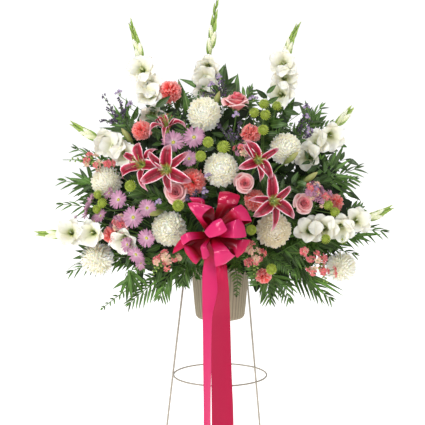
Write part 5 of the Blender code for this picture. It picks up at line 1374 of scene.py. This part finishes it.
def broad(piece, path, upper, longest, look, pairs):
    """A leafy twig: a few broad pointed leaves, set by turns."""
    line = smooth_line(path, 30)
    ways = tangents(line)
    rods(piece, line[::2], np.linspace(1.4, 0.6, 16) * MM, look, 5)
    t = np.linspace(0.15, 0.97, 2 * pairs)
    at = (t * 30).astype(int)
    sign = np.tile([-1.0, 1.0], pairs)
    side = unit(np.cross(ways[at], upper)) * sign[:, None]
    face = unit(np.cross(np.cross(ways[at], upper), ways[at]))
    turn = 0.6 + rng.normal(0, 0.15, 2 * pairs)
    along = side * np.cos(turn)[:, None] + ways[at] * np.sin(turn)[:, None]
    along = along + face * rng.uniform(-0.1, 0.3, (2 * pairs, 1))
    length = longest * rng.uniform(0.75, 1.1, 2 * pairs)
    petals(piece, line[at], along, face, length, length * 0.19, lance, look,
           bend=-rng.uniform(0.1, 0.7, 2 * pairs), cup=0.3, rows=5, cols=4, edge=0.08,
           twist=rng.normal(0, 0.3, 2 * pairs))


# Fans of leaves where the front view shows them: where they spring from (x, z, depth), the
# leaves' half width in millimetres, and their tips.
FANS = [
    ((-35.1, 101.4, 6), 5.0, [(-42.9, 103.3), (-41.5, 105.0), (-42.5, 101.6), (-41.5, 100.1),
        (-40.0, 98.1), (-39.3, 106.1), (-37.6, 108.4)]),
    ((-34.2, 106.1, 5), 4.0, [(-36.5, 111.2), (-38.0, 110.3), (-39.5, 110.0), (-40.4, 108.4)]),
    ((28.8, 103.3, 7), 5.5, [(34.5, 112.8), (33.8, 110.6), (33.5, 109.5), (36.3, 108.5), (37.5, 103.6),
        (36.1, 102.2), (35.1, 100.7), (34.5, 99.1), (32.4, 111.2)]),
    ((34.9, 87.1, 8), 4.5, [(45.0, 90.4), (45.3, 87.4), (42.4, 85.4), (39.1, 84.8)]),
    ((30.2, 86.0, 9), 5.0, [(37.1, 86.7), (36.8, 84.0), (34.9, 82.6), (31.0, 81.8)]),
    ((14.7, 75.3, 12), 4.5, [(10.8, 70.8), (13.6, 69.2), (15.2, 69.4), (18.6, 69.2), (20.3, 70.8),
        (21.4, 74.2), (20.9, 72.8)]),
    ((20.4, 78.1, 10), 4.5, [(22.9, 73.6), (24.3, 72.8), (26.5, 72.0), (30.4, 69.4), (29.7, 67.5),
        (34.7, 70.0), (34.9, 71.4)]),
    ((-25.8, 77.0, 12), 4.5, [(-26.4, 68.0), (-24.8, 68.0), (-28.3, 69.7), (-30.3, 72.0), (-23.3, 69.2),
        (-21.3, 70.3), (-19.7, 72.2)]),
    ((-32.5, 80.9, 9), 6.5, [(-40.8, 82.9), (-41.5, 80.6), (-40.4, 84.8)]),
    ((25.7, 117.3, 4), 7.0, [(25.7, 122.6), (28.2, 122.6), (23.5, 124.9), (29.6, 120.7), (21.8, 124.0)]),
    ((-1.7, 125.2, -1), 9.0, [(-11.3, 130.8), (-8.5, 129.6), (-6.8, 134.7), (1.1, 134.7), (4.7, 131.9),
        (3.3, 129.1), (-5.9, 126.8)]),
    ((-25.8, 116.2, 4), 4.5, [(-32.5, 119.6), (-31.4, 121.8), (-29.7, 123.8), (-28.1, 125.2),
        (-33.7, 117.3), (-26.1, 125.7)]),
]


def build_inner():
    """Leaves deep between the stems, near black as painted shade, which close the view through the
    arrangement.
    """
    piece = Piece("greens_inner", (), ["shade leaf"], "leaf")
    for row in range(14):
        z = 75.6 + 3.4 * row
        for k in range(-9, 10):
            x = 3.8 * (k + 0.5 * (row % 2)) - 1.0
            outside = (x / (33 if z > 97 else 37)) ** 2 + ((z - 97) / 25) ** 2 > 1
            if outside or (z < 80.5 and abs(x + 1) < 11):
                continue
            spot = sight(x + rng.normal(0, 0.8), z + rng.normal(0, 0.8), dome(x, z) * rng.uniform(0.35, 0.6))
            out = unit(spot - HEART)
            upper = unit(FRONT * 0.9 + out * 0.4)
            side, other = square_to(upper)
            turn = rng.uniform(0, 6.28) + 2.1 * np.arange(3)
            along = np.cos(turn)[:, None] * side + np.sin(turn)[:, None] * other
            petals(piece, spot, along, upper, rng.uniform(38, 58, 3) * MM, rng.uniform(11, 15, 3) * MM, lance,
                   "shade leaf", bend=-0.3, cup=0.25, rows=4, cols=2)
            start = from_foam(spot)
            rods(piece, np.array([start, (start + spot) / 2, spot]), 0.9 * MM, "shade leaf", 4)
    piece.finish()


def build_fans():
    """The single leaves that stand out round the flowers."""
    piece = Piece("greens_fans", (), ["palm leaf"], "leaf")
    for (x, z, depth), half, tips in FANS:
        root = sight(x, z, depth)
        ends = np.array([sight(tx, tz, depth + rng.uniform(-2, 1)) for tx, tz in tips])
        middle = ends.mean(0)
        roots = root + (middle - root) * rng.uniform(-0.1, 0.35, (len(ends), 1))
        upper = unit(FRONT * 0.75 + UP * 0.45)
        blades(piece, roots, ends, upper, 1.2 * half * MM, "palm leaf", 0.45, 9, 4)
        line = smooth_line([from_foam(root), (HEART + root) / 2 + UP * 0.01, root,
                            root + (middle - root) * 0.35], 14)
        rods(piece, line, np.linspace(1.8, 0.8, 15) * MM, "palm leaf", 6)
    piece.finish()


def filler_spots():
    """Places on the rounded face for the greens between the flowers, in even rows with a scatter."""
    spots = []
    for row in range(12):
        z = 76.5 + 4.6 * row
        for k in range(-9, 10):
            x = 5.6 * (k + 0.5 * (row % 2)) - 1.5
            if abs(x + 1) < 11 and z < 81:
                continue
            if (x / 39) ** 2 + ((z - 97) / (33 if z > 97 else 30)) ** 2 < 1:
                spots.append((x + rng.normal(0, 0.9), z + rng.normal(0, 0.9)))
    return spots


def build_fillers():
    """Greens that close the gaps between the flowers, in front and behind."""
    front = Piece("greens_front", (), ["fern leaf", "palm leaf", "broad leaf"], "leaf")
    back = Piece("greens_behind", (), ["back leaf", "broad leaf"], "leaf")
    heads = [row[:2] for row in list(MUMS.values()) + list(ROSES.values()) + list(LILIES.values())]
    heads += [row[:2] for rows in list(CARNATIONS.values()) + list(DAISIES.values()) for row in rows]
    heads = np.array(heads)
    for x, z in filler_spots():
        near = np.linalg.norm(heads - (x, z), axis=1).min()
        tip = sight(x, z, dome(x, z) - rng.uniform(2.5, 6.0) - 4.5 * ease((5.5 - near) / 2))
        out = unit(tip - HEART)
        flat = unit(np.array((out[0], 0.0, out[2])) + rng.normal(0, 0.35, 3) * (1, 0, 1))
        way = unit(flat * 0.85 + out * 0.45)
        foot = tip - way * rng.uniform(0.10, 0.14)
        upper = unit(FRONT * 0.8 + UP * 0.5 + rng.normal(0, 0.15, 3))
        kind = rng.random()
        path = arc(foot, way + UP * 0.15, tip, 10)
        if kind < 0.12:
            ferny(front, path, upper, rng.uniform(34, 46) * MM, "fern leaf", 9)
        elif kind < 0.42:
            fern(front, path, upper, rng.uniform(40, 52) * MM, "fern leaf")
        elif kind < 0.75:
            feathered(front, path, upper, rng.uniform(42, 60) * MM, "palm leaf", 9)
        else:
            broad(front, path, upper, rng.uniform(38, 52) * MM, "broad leaf", 5)
    for x, z, depth, longest in FRONDS["fronds_back"] * 2:
        end = sight(x, z, depth)
        tip = HEART + (end - HEART) * rng.uniform(0.66, 0.84) + rng.normal(0, 12, 3) * MM
        out = unit(tip - HEART)
        foot = HEART + (tip - HEART) * 0.35
        path = arc(foot, out + UP * 0.3, tip, 10)
        upper = unit(-FRONT * 0.7 + UP * 0.6)
        if rng.random() < 0.4:
            feathered(back, path, upper, 0.95 * longest * MM, "back leaf", 11)
        else:
            broad(back, path, upper, 0.9 * longest * MM, "broad leaf", 6)
    front.finish()
    back.finish()


# Stand, pot and ribbon

WIRE_LEG = 2.7 * MM
WIRE_RING = 2.4 * MM
LEG_TOP_REACH = 100.1 * MM
LEG_SPREAD = 0.120
LEG_TOP = 787 * MM
TOP_RING_HEIGHT = 785 * MM
LOW_RING_HEIGHT = 475 * MM
LEG_ANGLES = {"leg_left": 168, "leg_right": 42, "leg_front": 281}
POT_BOTTOM = 638 * MM
POT_FLOOR = 646 * MM
GAP = 0.3 * MM                  # between the legs and the rings


def build_stand():
    """Three straight leaning legs, and the two rings inside them."""
    for name, angle in LEG_ANGLES.items():
        out = np.array((math.cos(math.radians(angle)), math.sin(math.radians(angle)), 0.0))
        piece = Piece(name, name, ["wire"], "stand_wire")
        heights = np.linspace(0, LEG_TOP, 9)
        reach = LEG_TOP_REACH + LEG_SPREAD * (TOP_RING_HEIGHT - heights)
        line = out * reach[:, None] + UP * heights[:, None]
        turn = 2 * math.pi * np.arange(20) / 20
        ring = np.stack([np.cos(turn), np.sin(turn), 0 * turn], -1) * WIRE_LEG
        skin(piece, line[:, None] + ring[None], line[0], line[-1], "wire")
        piece.finish()
    for name, height in (("ring_lower", LOW_RING_HEIGHT), ("ring_top", TOP_RING_HEIGHT)):
        radius = LEG_TOP_REACH + LEG_SPREAD * (TOP_RING_HEIGHT - height) - WIRE_LEG - WIRE_RING - GAP
        piece = Piece(name, name, ["wire"], "stand_wire")
        steps, sides = 120, 12
        turn = 2 * math.pi * np.arange(steps) / steps
        lean = 2 * math.pi * np.arange(sides) / sides
        out = np.stack([np.cos(turn), np.sin(turn), 0 * turn], -1)
        points = (out[:, None] * (radius + WIRE_RING * np.cos(lean))[None, :, None]
                  + UP * (height + WIRE_RING * np.sin(lean))[None, :, None])
        k = np.arange(steps * sides).reshape(steps, sides)
        after = np.roll(k, -1, 0)
        faces = np.stack([k, after, np.roll(after, -1, 1), np.roll(k, -1, 1)], -1).reshape(-1, 4)
        places = np.zeros((steps * sides, 3))
        piece.add(points, faces, places, "wire")
        piece.finish()


def build_pot():
    """The ribbed pot, its flutes fading at the base and under the flange."""
    rows = [(4, 638, 0), (56, 638, 0), (64, 640.5, 0), (68, 645, 0.3), (69.5, 650, 1), (72.4, 676, 1),
            (75.8, 715, 1), (79.3, 752, 1), (81.6, 776, 1), (82.6, 782, 0.3), (83.5, 786.8, 0),
            (99.6, 787.6, 0), (100.8, 788.6, 0), (101, 790.4, 0), (100.2, 792.4, 0), (98.6, 793, 0),
            (81, 793, 0), (79.6, 791.8, 0), (79.0, 788, 0), (67, 652, 0), (60, 647, 0), (3, 646, 0)]
    piece = Piece("pot", "pot", ["pot"], "pot")
    sides = RIBS * 6
    turn = 2 * math.pi * np.arange(sides) / sides
    out = np.stack([np.cos(turn), np.sin(turn), 0 * turn], -1)
    rings = []
    for radius, height, ribbed in rows:
        reach = radius * MM - ribbed * 1.3 * MM * (1 - np.abs(np.cos(RIBS * turn / 2)) ** 0.7)
        rings.append(out * reach[:, None] + UP * height * MM)
    skin(piece, np.array(rings), UP * POT_BOTTOM, UP * POT_FLOOR, "pot")
    piece.finish()
    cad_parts["foam"].data.materials.clear()
    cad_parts["foam"].data.materials.append(LOOKS["foam"])


KNOT = (-2.8, 87.6, 23)
# Each loop: the two ends of its outer bend, the middles of the two edges of its near side and
# of its far side (x, z, depth), the painted light on its near side, and the painted shade on its
# far side and ends, which its inner face takes darker still.
LOOPS = [
    ((-9.0, 96.4, 27), (-2.1, 95.0, 27.5), (-7.5, 93.4, 28.5), (-5.0, 92.3, 28.5),
     (-5.4, 92.4, 25.5), (-1.8, 91.5, 25.5), 0.95, 0.1),
    ((-0.1, 99.5, 24), (5.5, 98.3, 24), (-0.8, 95.5, 26), (4.0, 94.8, 25),
     (0.2, 95.8, 22), (3.0, 96.6, 21.5), 0.55, 0.1),
    ((-4.4, 88.1, 29), (0.2, 92.0, 31), (-3.0, 86.6, 30), (1.9, 88.6, 31.2),
     (-3.8, 88.5, 26), (-0.3, 90.7, 27), 1, 0.15),
    ((-11.1, 86.7, 26.5), (-10.3, 84.3, 27), (-8.8, 88.1, 27.5), (-8.0, 85.9, 28),
     (-7.6, 87.1, 25.5), (-6.9, 85.4, 25.5), 1, 0.1),
    ((-10.2, 83.8, 27), (-6.8, 79.0, 26), (-7.9, 84.6, 25), (-5.1, 81.2, 25),
     (-8.5, 83.2, 24), (-6.2, 80.4, 24), 0.2, 0.1),
    ((-4.9, 80.4, 29), (-2.9, 81.5, 28.5), (-5.5, 84.0, 29.5), (-3.8, 84.3, 29),
     (-5.1, 83.7, 27), (-3.7, 84.3, 27), 0.95, 0.1),
    ((-1.3, 78.3, 28), (4.3, 81.6, 28), (-1.8, 82.6, 29.5), (2.2, 83.4, 29.5),
     (-0.9, 83.2, 26), (3.0, 85.0, 25.5), 1, 0.15),
    ((6.0, 95.9, 26), (8.8, 91.1, 27), (2.7, 94.1, 28), (5.0, 91.1, 28),
     (3.3, 92.7, 24), (5.5, 89.9, 24.5), 0.88, 0.1),
    ((5.6, 91.9, 27.5), (7.3, 86.9, 28.5), (3.6, 91.3, 29), (3.2, 86.5, 30),
     (3.0, 90.4, 26), (4.4, 88.2, 26), 1, 0.15),
    ((8.4, 86.0, 25), (4.8, 80.8, 26), (5.0, 86.0, 26), (3.0, 83.2, 26),
     (5.5, 85.7, 23), (3.6, 83.2, 23), 0.7, 0.1),
    ((-11.1, 86.1, 23), (-13.4, 82.0, 22.5), (-8.5, 86.5, 24), (-9.6, 84.0, 24),
     (-8.5, 86.5, 21), (-9.6, 84.0, 21), 0.6, 0.1),
    ((-8.7, 97.9, 22), (-4.5, 97.3, 22), (-6.2, 94.4, 22.6), (-3.7, 93.8, 22.6),
     (-5.9, 94.1, 21), (-3.7, 93.5, 21), 0.2, 0.1),
]
# Each tail from the knot down: z, then x and depth of its left edge and of its right edge.
TAILS = {
    "tail_left": [
        (85.6, -3.6, 21.2, -1.4, 21.4), (80.4, -4.5, 19.8, 0.6, 21.6), (76.2, -5.0, 19.2, 1.1, 22.2),
        (71.7, -5.1, 19.2, 0.4, 22.4), (68, -5.05, 19.2, -0.4, 22.4), (64.9, -5.0, 19.3, -1.2, 22.4),
        (60, -4.9, 19.6, -1.8, 22.4), (48, -4.8, 19.8, -2.5, 22.3), (36, -4.7, 19.8, -2.7, 22.2),
        (26, -4.8, 19.8, -2.6, 22.2), (20.5, -4.7, 19.8, -2.6, 22.1),
    ],
    "tail_right": [
        (84.0, -2.4, 22.6, -1.2, 22.0), (80.4, -1.4, 23.4, 1.4, 22.6), (75.3, -1.0, 24.0, 2.2, 23.0),
        (71.7, -0.75, 24.0, 2.5, 22.0), (68, -1.4, 24.0, 2.65, 21.0), (64.9, -2.1, 24.0, 2.8, 20.4),
        (60, -2.4, 24.0, 2.95, 20.2), (48, -2.5, 23.8, 3.3, 20.0), (36, -2.4, 23.7, 3.8, 19.9),
        (24, -2.3, 23.6, 3.95, 19.8), (17.5, -2.3, 23.6, 4.0, 19.8),
    ],
}
TAIL_SLANT = 22 * MM            # of the cut across each end
RIBBON_THICK = 0.7 * MM
HALF_AT_KNOT = 7.5 * MM
LOOP_ROWS, LOOP_COLS = 56, 16
TAIL_ROWS, TAIL_COLS = 140, 14


def loop_edge(tip, near, far, knot, shift):
    """One edge of a loop: out from the knot on its near side, round its bend and back."""
    tip, near, far = sight(*tip), sight(*near), sight(*far)
    start = knot + unit(tip - knot) * 7 * MM + shift
    swell = 0.17 * (near - far)
    return [start + FRONT * 2 * MM, start * 0.5 + near * 0.5, near, (near + tip) / 2 + swell, tip,
            (far + tip) / 2 - swell * 0.6, far, start * 0.5 + far * 0.5, start - FRONT * 2 * MM]


def ribbon_grid(left, right, rows, cols, belly, creases, folds=0.0):
    """A ribbon between two edges, bellied across its width, with soft folds along it and creases
    near its ends."""
    a = smooth_line(left, rows)
    b = smooth_line(right, rows)
    t = np.linspace(0, 1, cols + 1)
    grid = a[:, None] + (b - a)[:, None] * t[None, :, None]
    way = tangents((a + b) / 2)
    face = unit(np.cross(b - a, way))
    width = np.linalg.norm(b - a, axis=1)
    v = np.linspace(0, 1, rows + 1)
    belly = np.broadcast_to(belly, v.shape)[:, None]
    bulge = belly * width[:, None] * (4 * t * (1 - t))[None]
    phase = rng.uniform(0, 6)
    middle = np.exp(-((v - 0.42) / 0.20) ** 2)[:, None] * width[:, None]
    bulge = bulge + folds * middle * np.sin(2 * math.pi * 1.6 * t[None] + phase)
    near = np.exp(-(np.minimum(v, 1 - v) / 0.18) ** 2)
    fold = creases * near[:, None] * width[:, None] * np.sin(2 * math.pi * 3 * t[None] + rng.uniform(0, 6))
    return grid + face[:, None] * (bulge + fold)[..., None]


def build_ribbon():
    """The bow's loops, its knot on a wire pick, and the two tails."""
    knot = sight(*KNOT)
    piece = Piece("bow", "bow", ["satin"], "ribbon")
    for tip_a, tip_b, near_a, near_b, far_a, far_b, light, dark in LOOPS:
        across = unit(sight(*tip_b) - sight(*tip_a)) * HALF_AT_KNOT
        left = loop_edge(tip_a, near_a, far_a, knot, -across)
        right = loop_edge(tip_b, near_b, far_b, knot, across)
        start = rng.bit_generator.state
        grid = ribbon_grid(left, right, LOOP_ROWS, LOOP_COLS, 0.085, 0.008, 0.012)
        outward = np.cross(grid[14, -1] - grid[14, 0], grid[18, 8] - grid[10, 8])
        if outward @ FRONT < 0:
            rng.bit_generator.state = start
            grid = ribbon_grid(right, left, LOOP_ROWS, LOOP_COLS, 0.085, 0.008, 0.012)
        v = np.linspace(0, 1, LOOP_ROWS + 1)
        # Painted light and shade: the near side's outer face gets the light tone, the far side and the ends
        # at the knot the dark one, and the inner face painted shade at 0.6 of it.
        early = light >= 0.9
        lit = ease((v - (0.05 if early else 0.16)) / 0.22) * (1 - ease((v - 0.56) / 0.12))
        tone = dark + (light - dark) * lit
        # Painted highlight: a bright line along the bend of the darkest loops.
        if light < 0.4:
            tone = tone + 0.7 * np.exp(-((v - 0.46) / 0.05) ** 2)
        sheets(piece, grid, "satin", RIBBON_THICK, tone[None, :, None], dark * 0.6)
    bow = piece.finish()
    centre = Piece("bow_knot", (), ["satin", "wire"], "ribbon")
    profile = [(3 * MM, -11 * MM), (9 * MM, -8 * MM), (12 * MM, -2 * MM), (11.5 * MM, 4 * MM),
               (8 * MM, 9 * MM), (3 * MM, 11 * MM)]
    # The knot's low tone is painted shade.
    turned(centre, knot, FRONT, profile, "satin", 28, 7, 0.05, 0.2)
    start = from_foam(knot)
    rods(centre, np.array([start, (start + knot) / 2, knot]), 1.6 * MM, "wire", 8)
    centre.finish()
    for name, rows in TAILS.items():
        left = np.array([sight(x, z, depth) for z, x, depth, _, _ in rows])
        right = np.array([sight(x, z, depth) for z, _, _, x, depth in rows])
        right[-1] += UP * TAIL_SLANT
        lift = (knot - (left[0] + right[0]) / 2) * 0.75
        left[0] += lift
        right[0] += lift
        piece = Piece(name, name, ["satin"], "ribbon")
        v = np.linspace(0, 1, TAIL_ROWS + 1)
        swell = 0.30 * np.exp(-((v - 0.15) / 0.04) ** 2) if name == "tail_right" else 0.0
        grid = ribbon_grid(left, right, TAIL_ROWS, TAIL_COLS, 0.03 - swell, 0.012)
        # Painted shade: the right tail is darker all along, and both tails darken toward their tops under the
        # loops.
        light = 1.0 if name == "tail_left" else 0.6
        tone = light * (0.35 + 0.65 * ease((v - 0.05) / 0.12))
        sheets(piece, grid, "satin", RIBBON_THICK, tone[None, :, None])
        piece.finish()


# Stage

def build_stage():
    """A plain pale floor, wide enough for every view."""
    look = Look("stage")
    look.set(Roughness=0.9, Emission_Strength=0.75, Emission_Color=(1, 1, 1, 1), Specular_IOR_Level=0.1)
    look.set(Base_Color=rgb("f4f3f1"))
    reach, steps, below = 14, 96, -0.0005
    turn = 2 * math.pi * np.arange(steps) / steps
    mesh = bpy.data.meshes.new("floor")
    rim = [(reach * math.cos(t), reach * math.sin(t), below) for t in turn]
    mesh.from_pydata(rim, [], [list(range(steps))])
    mesh.materials.append(look.material)
    obj = bpy.data.objects.new("floor", mesh)
    bpy.context.scene.collection.objects.link(obj)


def lamp(name, place, aim, size, power, gloss=False):
    """A soft lamp; a gloss lamp shows only in reflections."""
    data = bpy.data.lights.new(name, "AREA")
    data.shape = "RECTANGLE"
    data.size, data.size_y = size
    data.energy = power
    obj = bpy.data.objects.new(name, data)
    obj.location = place
    obj.rotation_euler = (Vector(aim) - Vector(place)).to_track_quat("-Z", "Y").to_euler()
    obj.visible_diffuse = not gloss
    bpy.context.scene.collection.objects.link(obj)


def build_light():
    """A white backdrop behind the object, dimmer in front, and lamps from the front and above."""
    world = bpy.data.worlds.new("studio")
    world.use_nodes = True
    nodes, links = world.node_tree.nodes, world.node_tree.links
    way = nodes.new("ShaderNodeTexCoord")
    parts = nodes.new("ShaderNodeSeparateXYZ")
    links.new(way.outputs["Generated"], parts.inputs[0])
    ramp = nodes.new("ShaderNodeValToRGB")
    for stop, (at, level) in zip(ramp.color_ramp.elements, ((0.55, 0.45), (0.88, 1.05))):
        stop.position = at
        stop.color = (level, level, level, 1)
    links.new(parts.outputs[1], ramp.inputs[0])
    links.new(ramp.outputs[0], nodes["Background"].inputs[0])
    nodes["Background"].inputs[1].default_value = 1.0
    bpy.context.scene.world = world
    middle = (0, -0.1, 0.95)
    lamp("key", (-2.1, -2.2, 2.5), middle, (1.0, 1.0), 58)
    lamp("fill", (2.4, -2.2, 1.5), middle, (1.8, 1.8), 8)
    lamp("gloss_left", (-1.5, -2.4, 2.2), middle, (0.15, 1.1), 42, gloss=True)
    lamp("gloss_right", (1.4, -2.3, 2.1), middle, (0.15, 1.1), 30, gloss=True)
    lamp("gloss_low", (-0.9, -3.0, 0.9), middle, (0.3, 0.5), 20, gloss=True)
    lamp("gloss_top", (-0.1, -1.5, 3.0), middle, (1.2, 0.2), 40, gloss=True)
    lamp("top", (0.2, 0.4, 3.2), middle, (1.4, 1.4), 20)
    bpy.context.scene.view_settings.view_transform = "Standard"


def build_camera():
    """At EYE, aimed at the middle of the photo's frame on the stand's plane."""
    data = bpy.data.cameras.new("camera")
    data.lens = 91.1
    data.sensor_width = 36
    obj = bpy.data.objects.new("camera", data)
    aim = np.array((-0.0216, 0.0, 0.9366)) - MIDDLE
    place = EYE - MIDDLE
    obj.location = place
    obj.rotation_euler = Vector(aim - place).to_track_quat("-Z", "Y").to_euler()
    bpy.context.scene.collection.objects.link(obj)
    bpy.context.scene.camera = obj


build_camera()
build_stand()
build_pot()
build_flowers()
build_gladioli()
build_sprays()
build_small()
build_foliage()
build_fans()
build_inner()
build_fillers()
build_ribbon()
build_stage()
build_light()
